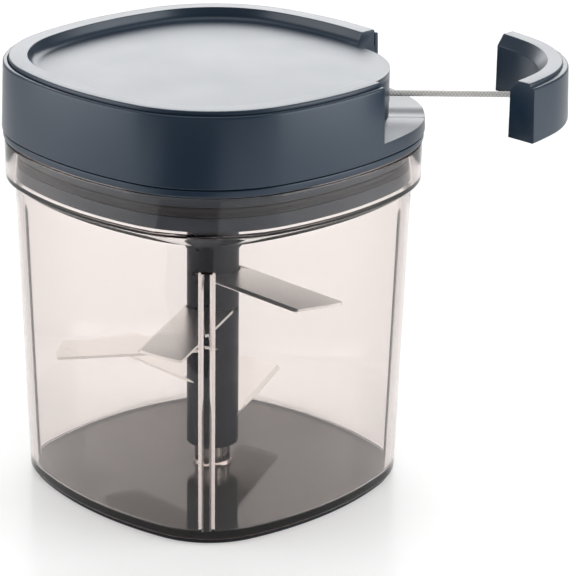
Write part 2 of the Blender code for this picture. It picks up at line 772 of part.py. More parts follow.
def screw_reach():
    """A screw's distance from the axis: its head clears the middle of the skirt's side."""
    skirt = side_distance(SKIRT_INNER_REACH, LID_SIDE_SHARE, LID_CORNER_SHARE)
    return skirt - BOSS_SKIRT_GAP - SCREW_HEAD_RADIUS


def screw_bearing(number):
    return math.pi / 4 + number * 2 * math.pi / SCREW_COUNT


def screw_places():
    bearings = [screw_bearing(number) for number in range(SCREW_COUNT)]
    far = screw_reach()
    return [(far * math.cos(bearing), far * math.sin(bearing)) for bearing in bearings]


def boss_web(number, low):
    """The upright web that ties a screw boss to the outer wall."""
    half = BOSS_WEB / 2
    near, far = screw_reach(), LID_REACH
    points = [(near, -half), (far, -half), (far, half), (near, half)]
    web = prism("boss_web_%d" % (number + 1), points, low, BOSS_TOP_Z)
    web.data.transform(Matrix.Rotation(screw_bearing(number), 4, "Z"))
    return web


def wedge(name, grow, low, high):
    """The corner sector cut out for the handle, grown or shrunk square to its sides."""
    apex = CUT_APEX_X - grow * math.sqrt(2)
    far = 2 * LID_REACH
    return prism(name, [(apex, 0), (apex + far, -far), (apex + far, far)], low, high)


def recess_cutter(name):
    """The space that the docked handle fills, outside the drum wall and over the shelf."""
    top = COVER_TOP_Z + OVERRUN
    space = wedge(name, 0, SHELF_Z, top)
    drum = prism(name + "_drum", disc_plan(DRUM_REACH), SHELF_Z - OVERRUN, top + OVERRUN)
    cut(space, cutter(drum))
    return cutter(space)


def lid_wall(z):
    """Corner reach of the lid's outer face at a height below its lip."""
    return LID_REACH + WALL_FLARE * (LID_TOP_Z - LIP_EASE - z) / HOUSING_HEIGHT


def make_lid_housing():
    """Outer wall, handle shelf, drum wall and screw bosses, open below."""
    profile = [
        (lid_wall(HOUSING_BOTTOM_Z), HOUSING_BOTTOM_Z),
        (LID_REACH, LID_TOP_Z - LIP_EASE),
        (LID_REACH - LIP_EASE, LID_TOP_Z),
        (LID_REACH - LIP_WIDTH, LID_TOP_Z),
        (LID_REACH - LIP_WIDTH, COVER_SEAT_Z),
    ]
    housing = loft("lid_housing", [level(lid_plan(reach), z) for reach, z in profile])

    low = HOUSING_BOTTOM_Z - OVERRUN
    high = COVER_SEAT_Z + OVERRUN
    cavity = cutter(prism("lid_cavity", lid_plan(LID_REACH - LID_WALL), low, high))
    block = cutter(wedge("corner_block", CUT_WALL, low - OVERRUN, high + OVERRUN))
    inside = prism("drum_inside", disc_plan(DRUM_REACH - DRUM_WALL), low - 2 * OVERRUN, high + 2 * OVERRUN)
    cut(block, cutter(inside))
    cut(cavity, block)
    for number, place in enumerate(screw_places()):
        boss = rod(
            "lid_boss_%d" % (number + 1),
            BOSS_RADIUS,
            low - OVERRUN,
            BOSS_TOP_Z,
            place,
            SMALL_ROUND_STEPS,
        )
        cut(cavity, cutter(boss))
        cut(cavity, cutter(boss_web(number, low - OVERRUN)))
    cut(housing, cavity)
    cut(housing, recess_cutter("housing_recess"))
    for number, place in enumerate(screw_places()):
        hole = rod(
            "boss_hole_%d" % (number + 1),
            SCREW_RADIUS + GAP,
            HOUSING_BOTTOM_Z - OVERRUN,
            SCREW_TOP_Z + GAP,
            place,
            SCREW_STEPS,
        )
        cut(housing, cutter(hole))
    exit_hole = rod_along_x(
        "cord_exit_hole",
        EYELET_RADIUS + GAP,
        DRUM_REACH - DRUM_WALL - OVERRUN,
        DRUM_REACH + OVERRUN,
        CORD_EXIT_Z,
    )
    cut(housing, cutter(exit_hole))
    finish(housing, LOOKS["lid"])

    lip_front = -DRUM_WALL - GAP
    eyelet_profile = [
        (EYELET_RADIUS, 0),
        (EYELET_RADIUS, lip_front),
        (EYELET_FLANGE, lip_front),
        (EYELET_FLANGE, lip_front - EYELET_LIP),
        (EYELET_BORE, lip_front - EYELET_LIP),
        (EYELET_BORE, 0),
    ]
    eyelet = turned("cord_eyelet", eyelet_profile, closed=True, steps=SMALL_ROUND_STEPS)
    eyelet.rotation_euler = (0, math.pi / 2, 0)
    eyelet.location = (DRUM_REACH, 0, CORD_EXIT_Z)
    finish(eyelet, LOOKS["steel"])

    for number, place in enumerate(screw_places()):
        screw_profile = [
            (0, SCREW_TOP_Z),
            (SCREW_RADIUS, SCREW_TOP_Z - SCREW_RADIUS),
            (SCREW_RADIUS, LID_FLOOR_Z - GAP),
            (SCREW_HEAD_RADIUS, LID_FLOOR_Z - GAP),
            (SCREW_HEAD_RADIUS, LID_FLOOR_Z - GAP - SCREW_HEAD),
            (0, LID_FLOOR_Z - GAP - SCREW_HEAD),
        ]
        screw = turned("base_screw_%d" % (number + 1), screw_profile, place, steps=SCREW_STEPS)
        finish(screw, LOOKS["steel"])


def make_top_cover():
    """Raised rim plate with a sunk disc and the axle boss that carries the reel."""
    profile = [
        (COVER_REACH, COVER_BOTTOM_Z),
        (COVER_REACH, COVER_TOP_Z - COVER_EASE),
        (COVER_REACH - COVER_EASE, COVER_TOP_Z),
    ]
    rings = [level(lid_plan(reach), z) for reach, z in profile]
    rings.append(level(disc_plan(RIM_REACH), COVER_TOP_Z))
    rings.append(level(disc_plan(DISC_REACH), COVER_TOP_Z - DISC_DROP))
    cover = loft("top_cover", rings)
    axle = rod("axle_boss", AXLE_RADIUS, AXLE_BOTTOM_Z, COVER_BOTTOM_Z + GAP, sides=SMALL_ROUND_STEPS)
    cut(cover, cutter(axle), "UNION")
    hole = rod(
        "axle_hole",
        SCREW_RADIUS + GAP,
        AXLE_BOTTOM_Z - OVERRUN,
        AXLE_BOTTOM_Z + REEL_SCREW_LENGTH,
        sides=SCREW_STEPS,
    )
    cut(cover, cutter(hole))
    cut(cover, recess_cutter("cover_recess"))
    finish(cover, LOOKS["lid"])


def make_reel():
    """Cord reel with its spring pocket, bush, ratchet ring, cover, spring and winding."""
    web_z = AXLE_BOTTOM_Z
    hub_top = web_z + REEL_HUB_HEIGHT
    bore = BUSH_RADIUS + GAP
    profile = [
        (REEL_FLANGE_RADIUS, REEL_TOP_Z),
        (REEL_FLANGE_RADIUS, REEL_TOP_Z - REEL_FLANGE),
        (REEL_RADIUS, REEL_TOP_Z - REEL_FLANGE),
        (REEL_RADIUS, REEL_BOTTOM_Z + REEL_FLANGE),
        (REEL_FLANGE_RADIUS, REEL_BOTTOM_Z + REEL_FLANGE),
        (REEL_FLANGE_RADIUS, REEL_BOTTOM_Z),
        (POCKET_RADIUS, REEL_BOTTOM_Z),
        (POCKET_RADIUS, web_z),
        (bore, web_z),
        (bore, hub_top),
        (REEL_HUB_RADIUS, hub_top),
        (REEL_HUB_RADIUS, web_z + REEL_WEB),
        (POCKET_RADIUS, web_z + REEL_WEB),
        (POCKET_RADIUS, REEL_TOP_Z),
    ]
    finish(turned("cord_reel", profile, closed=True), LOOKS["white"])
    bush = ring("reel_bush", BUSH_RADIUS, AXLE_RADIUS + GAP, web_z, hub_top, SMALL_ROUND_STEPS)
    finish(bush, LOOKS["brass"])
    cover_low = REEL_TOP_Z + GAP
    cover_top = cover_low + SPRING_COVER
    cover = ring("spring_cover", REEL_RADIUS, AXLE_RADIUS + RUN_GAP, cover_low, cover_top)
    finish(cover, LOOKS["white"])

    washer_top = WASHER_Z + WASHER_THICK
    washer_bore = SCREW_RADIUS + GAP
    washer = ring("reel_washer", WASHER_RADIUS, washer_bore, WASHER_Z, washer_top, SMALL_ROUND_STEPS)
    finish(washer, LOOKS["steel"])
    screw_profile = [
        (0, AXLE_BOTTOM_Z + REEL_SCREW_LENGTH - GAP),
        (SCREW_RADIUS, AXLE_BOTTOM_Z + REEL_SCREW_LENGTH - SCREW_RADIUS),
        (SCREW_RADIUS, WASHER_Z - GAP),
        (SCREW_HEAD_RADIUS, WASHER_Z - GAP),
        (SCREW_HEAD_RADIUS, REEL_SCREW_Z),
        (0, REEL_SCREW_Z),
    ]
    finish(turned("reel_screw", screw_profile, steps=SCREW_STEPS), LOOKS["steel"])

    make_spring(hub_top + GAP)
    make_ratchet(web_z - GAP)
    make_winding()


def make_spring(low):
    """Flat spiral spring, one unbroken strip from the axle boss to the pocket wall."""
    half = SPRING_THICK / 2
    high = REEL_TOP_Z - SPRING_TOP_GAP
    start = AXLE_RADIUS + GAP + half
    end = POCKET_RADIUS - GAP - half
    sections = []
    count = SPRING_TURNS * SPRING_STEPS
    for step in range(count + 1):
        angle = 2 * math.pi * step / SPRING_STEPS
        radius = start + (end - start) * step / count
        across = Vector((math.cos(angle), math.sin(angle), 0))
        middle = across * radius
        corners = []
        for side, z in ((-1, low), (1, low), (1, high), (-1, high)):
            corners.append(middle + across * side * half + Vector((0, 0, z)))
        sections.append(corners)
    finish(loft("return_spring", sections), LOOKS["steel"], smooth=False)
    turn_gap = (end - start) / SPRING_TURNS - SPRING_THICK
    print("return_spring least gap to itself, mm:", round(turn_gap * 1000, 2))


def make_ratchet(top):
    """Ring with inner saw teeth under the reel, and the sprung star that drives the hub."""
    steps = TOOTH_STEPS * RATCHET_TOOTH_COUNT
    outer, teeth, shoulder = [], [], []
    for step in range(steps):
        angle = 2 * math.pi * step / steps
        share = (step % TOOTH_STEPS) / (TOOTH_STEPS - 1)
        radius = RATCHET_ROOT - RATCHET_TOOTH * share
        way = Vector((math.cos(angle), math.sin(angle)))
        outer.append(way * RATCHET_RADIUS)
        teeth.append(way * radius)
        shoulder.append(way * RATCHET_SHOULDER)
    teeth_top = STAR_Z + RATCHET_DEPTH
    rings = [
        level(outer, STAR_Z),
        level(outer, top),
        level(shoulder, top),
        level(shoulder, teeth_top),
        level(teeth, teeth_top),
        level(teeth, STAR_Z),
    ]
    finish(loft("ratchet_ring", rings, closed=True), LOOKS["white"], smooth=False)

    star = []
    arm_turn = 2 * math.pi / STAR_ARM_COUNT
    arm_inner = STAR_REACH * STAR_OUTER_SHARES[0][1]
    for arm in range(STAR_ARM_COUNT):
        start = arm * arm_turn
        for step in range(STAR_HUB_STEPS + 1):
            angle = start + arm_turn * STAR_HUB_SHARE * step / STAR_HUB_STEPS
            star.append((STAR_HUB * math.cos(angle), STAR_HUB * math.sin(angle)))
        for turn_share, reach_share in STAR_OUTER_SHARES:
            angle = start + arm_turn * turn_share
            outer = STAR_REACH * reach_share
            star.append((outer * math.cos(angle), outer * math.sin(angle)))
        for turn_share, width_share in STAR_INNER_SHARES:
            angle = start + arm_turn * turn_share
            inner = arm_inner - STAR_ARM_WIDTH * width_share
            star.append((inner * math.cos(angle), inner * math.sin(angle)))
    piece = prism("clutch_star", star, STAR_Z, STAR_TOP_Z)
    bore = rod("star_bore", SCREW_RADIUS + GAP, STAR_Z - OVERRUN, STAR_TOP_Z + OVERRUN, sides=SCREW_STEPS)
    cut(piece, cutter(bore))
    finish(piece, LOOKS["white"], smooth=False)

    shoulder_z = HEAD_TOP_Z + RUN_GAP
    hub_profile = [
        (0, HUB_TOP_Z),
        (HUB_FLANGE_RADIUS, HUB_TOP_Z),
        (HUB_FLANGE_RADIUS, HUB_FLANGE_Z),
        (JOURNAL_RADIUS, HUB_FLANGE_Z),
        (JOURNAL_RADIUS, shoulder_z),
        (0, shoulder_z),
    ]
    hub = turned("drive_hub", hub_profile)
    hex_low = HEAD_TOP_Z - HEX_DEPTH + RUN_GAP
    spigot = prism("hub_spigot", hexagon(HEX_RADIUS), hex_low, shoulder_z + HUB_FLANGE)
    cut(hub, cutter(spigot), "UNION")
    hole = rod(
        "hub_screw_hole",
        SCREW_RADIUS + GAP,
        HUB_TOP_Z - HUB_SCREW_LENGTH,
        HUB_TOP_Z + OVERRUN,
        sides=SCREW_STEPS,
    )
    cut(hub, cutter(hole))
    finish(hub, LOOKS["shaft"])

    screw_profile = [
        (0, HUB_SCREW_TOP_Z),
        (SCREW_HEAD_RADIUS, HUB_SCREW_TOP_Z),
        (SCREW_HEAD_RADIUS, STAR_TOP_Z + GAP),
        (SCREW_RADIUS, STAR_TOP_Z + GAP),
        (SCREW_RADIUS, HUB_TOP_Z - HUB_SCREW_LENGTH + SCREW_RADIUS),
        (0, HUB_TOP_Z - HUB_SCREW_LENGTH + GAP),
    ]
    finish(turned("hub_screw", screw_profile, steps=SCREW_STEPS), LOOKS["steel"])


def leaving_point():
    """Where the cord leaves the winding, so that it runs straight to the eyelet."""
    angle = -math.acos(WIND_RADIUS / CORD_MOUTH_X)
    place = Vector((math.cos(angle), math.sin(angle), 0)) * WIND_RADIUS
    place.z = WIND_TOP_Z
    return angle, place


def make_winding():
    """The cord's turns on the reel, one unbroken tube that ends in a short straight run."""
    angle, place = leaving_point()
    count = round(WIND_TURNS * WIND_STEPS)
    points = []
    for step in range(count + 1):
        back = (count - step) / WIND_STEPS
        bearing = angle - 2 * math.pi * back
        z = WIND_TOP_Z - WIND_PITCH * back
        points.append(
            Vector((WIND_RADIUS * math.cos(bearing), WIND_RADIUS * math.sin(bearing), z))
        )
    along = Vector((-math.sin(angle), math.cos(angle), 0))
    points.append(place + along * 2 * CORD_RADIUS)
    tube("cord_winding", points, CORD_RADIUS, LOOKS["cord"], WIND_BEVEL_STEPS)
    least = min(
        (points[first] - points[second]).length
        for first in range(len(points))
        for second in range(first + WIND_STEPS // 2, len(points))
    )
    print("cord_winding least gap to itself, mm:", round((least - 2 * CORD_RADIUS) * 1000, 2))


def make_cord():
    """The cord's free run, from the winding through the eyelet to the knot in the handle."""
    angle, place = leaving_point()
    along = Vector((-math.sin(angle), math.cos(angle), 0))
    start = place + along * (2 * CORD_RADIUS + GAP)
    knot_x = HANDLE_FACE_X + KNOT_POCKET_DEPTH - GAP - 2 * KNOT_RADIUS - GAP
    mouth = Vector((CORD_MOUTH_X, 0, CORD_EXIT_Z))
    before = mouth.lerp(start, 2 * CORD_RADIUS / (CORD_MOUTH_X - start.x))
    middle = (start + before) / 2
    route = [
        start,
        middle,
        before,
        mouth,
        Vector((DRUM_REACH + CORD_RADIUS, 0, CORD_EXIT_Z)),
        Vector(((DRUM_REACH + knot_x) / 2, 0, CORD_EXIT_Z)),
        Vector((knot_x, 0, CORD_EXIT_Z)),
    ]
    tube("pull_cord", smooth_route(route, CORD_RUN_STEP), CORD_RADIUS, LOOKS["cord"])


def make_handle():
    """Grip that fills the lid's corner when docked, with the cord's knot behind a plug."""
    profile = [
        (lid_wall(HANDLE_BOTTOM_Z), HANDLE_BOTTOM_Z),
        (LID_REACH, LID_TOP_Z - LIP_EASE),
        (LID_REACH - LIP_EASE, LID_TOP_Z),
        (LID_REACH - LIP_WIDTH, LID_TOP_Z),
        (COVER_REACH, LID_TOP_Z + LIP_EASE),
        (COVER_REACH - COVER_EASE, COVER_TOP_Z),
    ]
    grip = loft("handle_grip", [level(lid_plan(reach), z) for reach, z in profile])
    inner_profile = [
        (HANDLE_INNER_REACH, HANDLE_BOTTOM_Z - OVERRUN),
        (HANDLE_INNER_REACH, COVER_TOP_Z - HANDLE_SLOPE_DROP),
        (HANDLE_INNER_REACH + HANDLE_INNER_SLOPE, COVER_TOP_Z),
        (HANDLE_INNER_REACH + HANDLE_INNER_SLOPE, COVER_TOP_Z + OVERRUN),
    ]
    hollow = loft("handle_hollow", [level(disc_plan(reach), z) for reach, z in inner_profile])
    cut(grip, cutter(hollow))
    sector = wedge(
        "handle_sector",
        -HANDLE_SIDE_GAP,
        HANDLE_BOTTOM_Z - OVERRUN,
        COVER_TOP_Z + OVERRUN,
    )
    cut(grip, cutter(sector), "INTERSECT")
    pocket = rod_along_x(
        "knot_pocket",
        PLUG_RADIUS + GAP,
        HANDLE_INNER_REACH - OVERRUN,
        HANDLE_INNER_REACH + KNOT_POCKET_DEPTH,
        CORD_EXIT_Z,
    )
    cut(grip, cutter(pocket))
    finish(grip, LOOKS["handle"])
    for piece in (grip, hollow, sector, pocket):
        piece.location.x = PULL_OUT

    plug_profile = [
        (PLUG_RADIUS, PLUG_THICK),
        (PLUG_RADIUS, GAP),
        (PLUG_BORE, GAP),
        (PLUG_BORE, PLUG_THICK),
    ]
    plug = turned("handle_plug", plug_profile, closed=True, steps=SMALL_ROUND_STEPS)
    plug.rotation_euler = (0, math.pi / 2, 0)
    plug.location = (HANDLE_FACE_X, 0, CORD_EXIT_Z)
    finish(plug, LOOKS["handle"])

    mesh = bpy.data.meshes.new("cord_knot")
    ball = bmesh.new()
    bmesh.ops.create_uvsphere(ball, u_segments=KNOT_STEPS, v_segments=KNOT_RING_STEPS, radius=KNOT_RADIUS)
    ball.to_mesh(mesh)
    ball.free()
    knot = bpy.data.objects.new("cord_knot", mesh)
    knot.location = (HANDLE_FACE_X + KNOT_POCKET_DEPTH - GAP - KNOT_RADIUS, 0, CORD_EXIT_Z)
    finish(knot, LOOKS["cord"])


clear_scene()
PARTS = new_collection("pull_cord_chopper")
CUTTERS = new_collection("cutters")
LOOKS = {
    "container": material("smoke_plastic", SMOKE, 0.08, alpha=0.4),
    "base_pad": material("pad_rubber", GREY_RUBBER, 0.8),
    "lid": material("navy_plastic", NAVY, 0.38),
    "handle": material("handle_plastic", NAVY, 0.38),
    "shaft": material("shaft_plastic", NAVY_DARK, 0.35),
    "seal": material("seal_rubber", SEAL_GREY, 0.6),
    "steel": material("steel", STEEL, 0.22, 1.0),
    "brass": material("brass", BRASS, 0.3, 1.0),
    "white": material("white_plastic", WHITE_PLASTIC, 0.45),
    "cord": material("cord", CORD_WHITE, 0.8),
}
make_container()
make_blades()
make_lid_base()
make_lid_housing()
make_top_cover()
make_reel()
make_cord()
make_handle()
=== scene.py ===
# %% [markdown]
# A pull cord food chopper: a smoky see-through cup, a spiral of steel blades on a
# dark shaft, and a navy lid with a cord reel inside. This lesson dresses the packed
# model: it keeps every size of the model and gives each piece a finer surface and a
# finish that is worked out by nodes.

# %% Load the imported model
import json

import bpy
import numpy as np
from mathutils import Matrix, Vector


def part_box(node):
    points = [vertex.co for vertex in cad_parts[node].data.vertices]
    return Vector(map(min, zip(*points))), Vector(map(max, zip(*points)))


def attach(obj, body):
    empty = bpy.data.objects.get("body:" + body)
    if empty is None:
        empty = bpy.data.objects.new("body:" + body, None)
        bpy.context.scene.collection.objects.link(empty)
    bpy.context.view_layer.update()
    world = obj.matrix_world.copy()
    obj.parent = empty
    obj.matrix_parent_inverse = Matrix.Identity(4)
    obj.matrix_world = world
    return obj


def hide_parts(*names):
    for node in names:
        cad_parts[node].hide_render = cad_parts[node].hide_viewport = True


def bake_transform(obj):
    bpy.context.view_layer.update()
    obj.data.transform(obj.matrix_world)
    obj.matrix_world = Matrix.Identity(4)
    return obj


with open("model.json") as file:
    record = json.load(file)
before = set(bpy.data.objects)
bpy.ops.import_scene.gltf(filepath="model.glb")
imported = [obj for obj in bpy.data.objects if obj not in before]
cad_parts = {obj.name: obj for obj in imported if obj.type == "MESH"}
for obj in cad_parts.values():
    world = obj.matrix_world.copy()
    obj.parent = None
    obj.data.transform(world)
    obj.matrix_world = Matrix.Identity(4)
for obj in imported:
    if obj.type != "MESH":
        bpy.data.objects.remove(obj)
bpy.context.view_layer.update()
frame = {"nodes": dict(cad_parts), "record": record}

# %% [markdown]
# The camera comes first. It could be set by eye, but a few pixels' error in the lens
# already bends the cup's outline, so its place and lens were solved from the outlines in
# the photograph. The view is off the middle of the lens. A small shift of the lens takes
# that up, where a turn of the camera would change how the upright edges lean.

# %% Camera
FRAME_PIXELS = 576
SENSOR_MM = 36.0
FOCAL_PIXELS = 2531.2
CENTRE_PIXEL = (212.8, 268.0)
CAMERA_PLACE = (0.0219, -0.7551, 0.34575)
CAMERA_TURN = 0.0290
CAMERA_PITCH = 0.3518
CAMERA_ROLL = 0.0032
CLIP_START = 0.01


def camera_axes(turn, pitch, roll):
    """Right, up and forward of a camera turned about Z, pitched down, then rolled."""
    forward = np.array([-np.sin(turn) * np.cos(pitch), np.cos(turn) * np.cos(pitch), -np.sin(pitch)])
    flat = np.array([np.cos(turn), np.sin(turn), 0.0])
    rise = np.cross(flat, forward)
    right = np.cos(roll) * flat + np.sin(roll) * rise
    up = -np.sin(roll) * flat + np.cos(roll) * rise
    return right, up, forward


right, up, forward = camera_axes(CAMERA_TURN, CAMERA_PITCH, CAMERA_ROLL)
camera_data = bpy.data.cameras.new("camera")
camera_data.sensor_width = SENSOR_MM
camera_data.lens = FOCAL_PIXELS * SENSOR_MM / FRAME_PIXELS
camera_data.shift_x = (FRAME_PIXELS / 2 - CENTRE_PIXEL[0]) / FRAME_PIXELS
camera_data.shift_y = (CENTRE_PIXEL[1] - FRAME_PIXELS / 2) / FRAME_PIXELS
camera_data.clip_start = CLIP_START
camera = bpy.data.objects.new("camera", camera_data)
camera.matrix_world = Matrix(
    [
        [right[0], up[0], -forward[0], CAMERA_PLACE[0]],
        [right[1], up[1], -forward[1], CAMERA_PLACE[1]],
        [right[2], up[2], -forward[2], CAMERA_PLACE[2]],
        [0, 0, 0, 1],
    ]
)
bpy.context.scene.collection.objects.link(camera)
bpy.context.scene.camera = camera
bpy.context.scene.view_settings.view_transform = "Standard"
print("lens, mm:", round(camera_data.lens, 1))

# %% [markdown]
# A moulded shell could be built from a cube with many modifiers, but its sizes would
# then hide in them. Here every new surface is a grid of points worked out as one array.
# One helper skins through rings of equal count, and another puts the mesh into the
# scene, shaded smooth with its sharp edges kept. A third rounds the corners of a flat
# profile, because no moulded corner is sharp.

# %% Helpers for meshes
SHARP_ANGLE = np.radians(35.0)


def smooth(mesh, sharp=SHARP_ANGLE):
    """Shade a mesh smooth, but keep edges sharp that turn by more than an angle."""
    mesh.shade_smooth()
    mesh.set_sharp_from_angle(angle=sharp)


def put(name, points, faces, sharp=SHARP_ANGLE):
    """A mesh object at the origin, from an array of points and lists of faces."""
    mesh = bpy.data.meshes.new(name)
    mesh.from_pydata(np.asarray(points).reshape(-1, 3).tolist(), [], faces)
    mesh.validate()
    mesh.update()
    smooth(mesh, sharp)
    made = bpy.data.objects.new(name, mesh)
    bpy.context.scene.collection.objects.link(made)
    return made


def grid_faces(rows, columns, closed=False):
    """Quads between neighbouring rows of a grid whose columns run round in a circle."""
    low = np.arange(rows if closed else rows - 1)[:, None]
    here = np.arange(columns)[None, :]
    high = (low + 1) % rows
    after = (here + 1) % columns
    quads = [low * columns + here, low * columns + after, high * columns + after, high * columns + here]
    return np.stack(quads, axis=-1).reshape(-1, 4).tolist()


def skin(name, rings, closed=False, sharp=SHARP_ANGLE):
    """Skin through rings of shape (rows, columns, 3), from the bottom outside upwards.

    A closed skin joins its last ring to its first; any other is capped at both ends.
    """
    rings = np.asarray(rings, dtype=float)
    rows, columns = rings.shape[:2]
    faces = grid_faces(rows, columns, closed)
    if not closed:
        faces.append(list(range(columns))[::-1])
        faces.append(list(range((rows - 1) * columns, rows * columns)))
    return put(name, rings, faces, sharp)


def rounded(points, radii, steps=5):
    """Replace corners of a flat polyline by arcs, given as one radius for each corner.

    Each arc starts and ends at radius times the tangent of half the turn from its
    corner, and its points lie on a quadratic curve pulled to that corner.
    """
    points = np.asarray(points, dtype=float)
    out = [points[0]]
    for before, here, after, radius in zip(points, points[1:], points[2:], radii[1:-1]):
        if radius == 0:
            out.append(here)
            continue
        back = (before - here) / np.linalg.norm(before - here)
        onward = (after - here) / np.linalg.norm(after - here)
        turn = np.pi - np.arccos(np.clip(back @ onward, -1, 1))
        reach = radius * np.tan(turn / 2)
        share = np.linspace(0, 1, steps)[:, None]
        start, end = here + back * reach, here + onward * reach
        out.extend((1 - share) ** 2 * start + 2 * share * (1 - share) * here + share**2 * end)
    out.append(points[-1])
    return np.array(out)


# %% [markdown]
# Holes, hollows and the lid's cut corner are easier to carve than to skin, because
# their edges run across the rings. Each carve is a boolean whose result is kept at once,
# so no live modifier is left on a piece. A bevel then rounds the edges that the carving
# leaves sharp.

# %% Helpers for carving


def carve(piece, tool, operation="DIFFERENCE"):
    """Cut, join or intersect with another object, and keep only the result."""
    step = piece.modifiers.new("carve", "BOOLEAN")
    step.operation = operation
    step.solver = "EXACT"
    step.object = tool
    bake(piece)
    bpy.data.objects.remove(tool, do_unlink=True)
    return piece


def bake(piece):
    """Swap a piece's mesh for its evaluated one and drop its modifiers."""
    bpy.context.view_layer.update()
    graph = bpy.context.evaluated_depsgraph_get()
    result = bpy.data.meshes.new_from_object(piece.evaluated_get(graph))
    piece.modifiers.clear()
    piece.data = result
    return piece


def lay_along_x(piece, x, z):
    """Turn an upright piece to lie along +X, with its foot at x and its axis at z."""
    piece.data.transform(Matrix.Rotation(np.pi / 2, 4, "Y"))
    piece.data.transform(Matrix.Translation((x, 0, z)))
    return piece


def soften(piece, width, segments=3, angle=SHARP_ANGLE):
    """Round the sharp edges of a piece by a fixed width."""
    step = piece.modifiers.new("soften", "BEVEL")
    step.width = width
    step.segments = segments
    step.limit_method = "ANGLE"
    step.angle_limit = angle
    step.miter_outer = "MITER_ARC"
    step.use_clamp_overlap = True
    bake(piece)
    smooth(piece.data)
    return piece


# %% [markdown]
# The plan of cup and lid is a rounded square whose corners point along X and Y. A
# superellipse would come close, but its corners and sides can't be set apart. So it is
# made of eight arcs that meet at a shared tangent: small ones at the corners and wide
# ones along the sides. Their radii are shares of the reach, the side's first. The sunk
# disc on top is rounder, so it has its own shares.

# %% Plan outlines
LID_SHARES = (1.745, 0.645)
CUP_SHARES = (1.834, 0.480)
DISC_SHARES = (1.9, 0.61)
CORNER_STEPS = 14
SIDE_STEPS = 22


def outline(reach, shares):
    """Corner arc, side arc, corner arc, four times round, as an array of points.

    With corner radius c and side radius s, the side arc's centre lies behind the middle
    on the diagonal, where both its distance to the corner arc's centre is s - c.
    """
    side, corner = shares[0] * reach, shares[1] * reach
    middle = reach - corner
    spread = (side - corner) ** 2 - middle**2
    shift = (np.sqrt(2 * middle**2 + 4 * spread) - np.sqrt(2) * middle) / 2
    centre = -shift / np.sqrt(2)
    turn = np.arctan2(-centre, middle - centre)
    first = turn * np.arange(CORNER_STEPS) / CORNER_STEPS
    along = turn + (np.pi / 2 - 2 * turn) * np.arange(SIDE_STEPS) / SIDE_STEPS
    last = np.pi / 2 - turn + first
    quarter = np.concatenate(
        [
            np.stack([middle + corner * np.cos(first), corner * np.sin(first)], axis=1),
            np.stack([centre + side * np.cos(along), centre + side * np.sin(along)], axis=1),
            np.stack([corner * np.cos(last), middle + corner * np.sin(last)], axis=1),
        ]
    )
    turns = np.arange(4) * np.pi / 2
    cosine, sine = np.cos(turns)[:, None], np.sin(turns)[:, None]
    x = quarter[:, 0] * cosine - quarter[:, 1] * sine
    y = quarter[:, 0] * sine + quarter[:, 1] * cosine
    return np.stack([x.ravel(), y.ravel()], axis=1)


def lift(plan, z):
    """A flat plan as points at one height."""
    return np.column_stack([plan, np.full(len(plan), z)])


def rings_of(profile, shares):
    """A ring for each (reach, height) pair of a profile: the plan at that reach, lifted."""
    return np.array([lift(outline(reach, shares), z) for reach, z in profile])


def turned_rings(profile, count=96):
    """Rings of a turned shape: radius times cosine and sine of the angle, at each height."""
    profile = np.asarray(profile, dtype=float)
    angle = 2 * np.pi * np.arange(count) / count
    x = profile[:, :1] * np.cos(angle)
    y = profile[:, :1] * np.sin(angle)
    z = np.repeat(profile[:, 1:], count, axis=1)
    return np.stack([x, y, z], axis=-1)


def block(name, points, low, high):
    """An upright prism on a flat outline."""
    return skin(name, [lift(points, z) for z in (low, high)])


print("points round a plan:", len(outline(1.0, LID_SHARES)))


# %% [markdown]
# A material can be wired by hand, node by node, but its maths then gets lost among the
# links. Shader maths reads best as sums. This small class wraps a socket, and its
# operators add Math nodes, so `1 - mask` or `grain * 0.3 + 0.5` can be written as they
# are. The recipe class makes a material and adds any other node by its type.

# %% Helpers for materials
OBJECT_OUTPUT = 3


class Wire:
    """A shader socket that can be used in sums."""

    def __init__(self, recipe, socket):
        self.recipe = recipe
        self.socket = socket

    def _math(self, operation, first, second):
        return self.recipe.node("ShaderNodeMath", {"operation": operation}, {0: first, 1: second})

    def __add__(self, other):
        return self._math("ADD", self, other)

    def __radd__(self, other):
        return self._math("ADD", other, self)

    def __sub__(self, other):
        return self._math("SUBTRACT", self, other)

    def __rsub__(self, other):
        return self._math("SUBTRACT", other, self)

    def __mul__(self, other):
        return self._math("MULTIPLY", self, other)

    def __rmul__(self, other):
        return self._math("MULTIPLY", other, self)


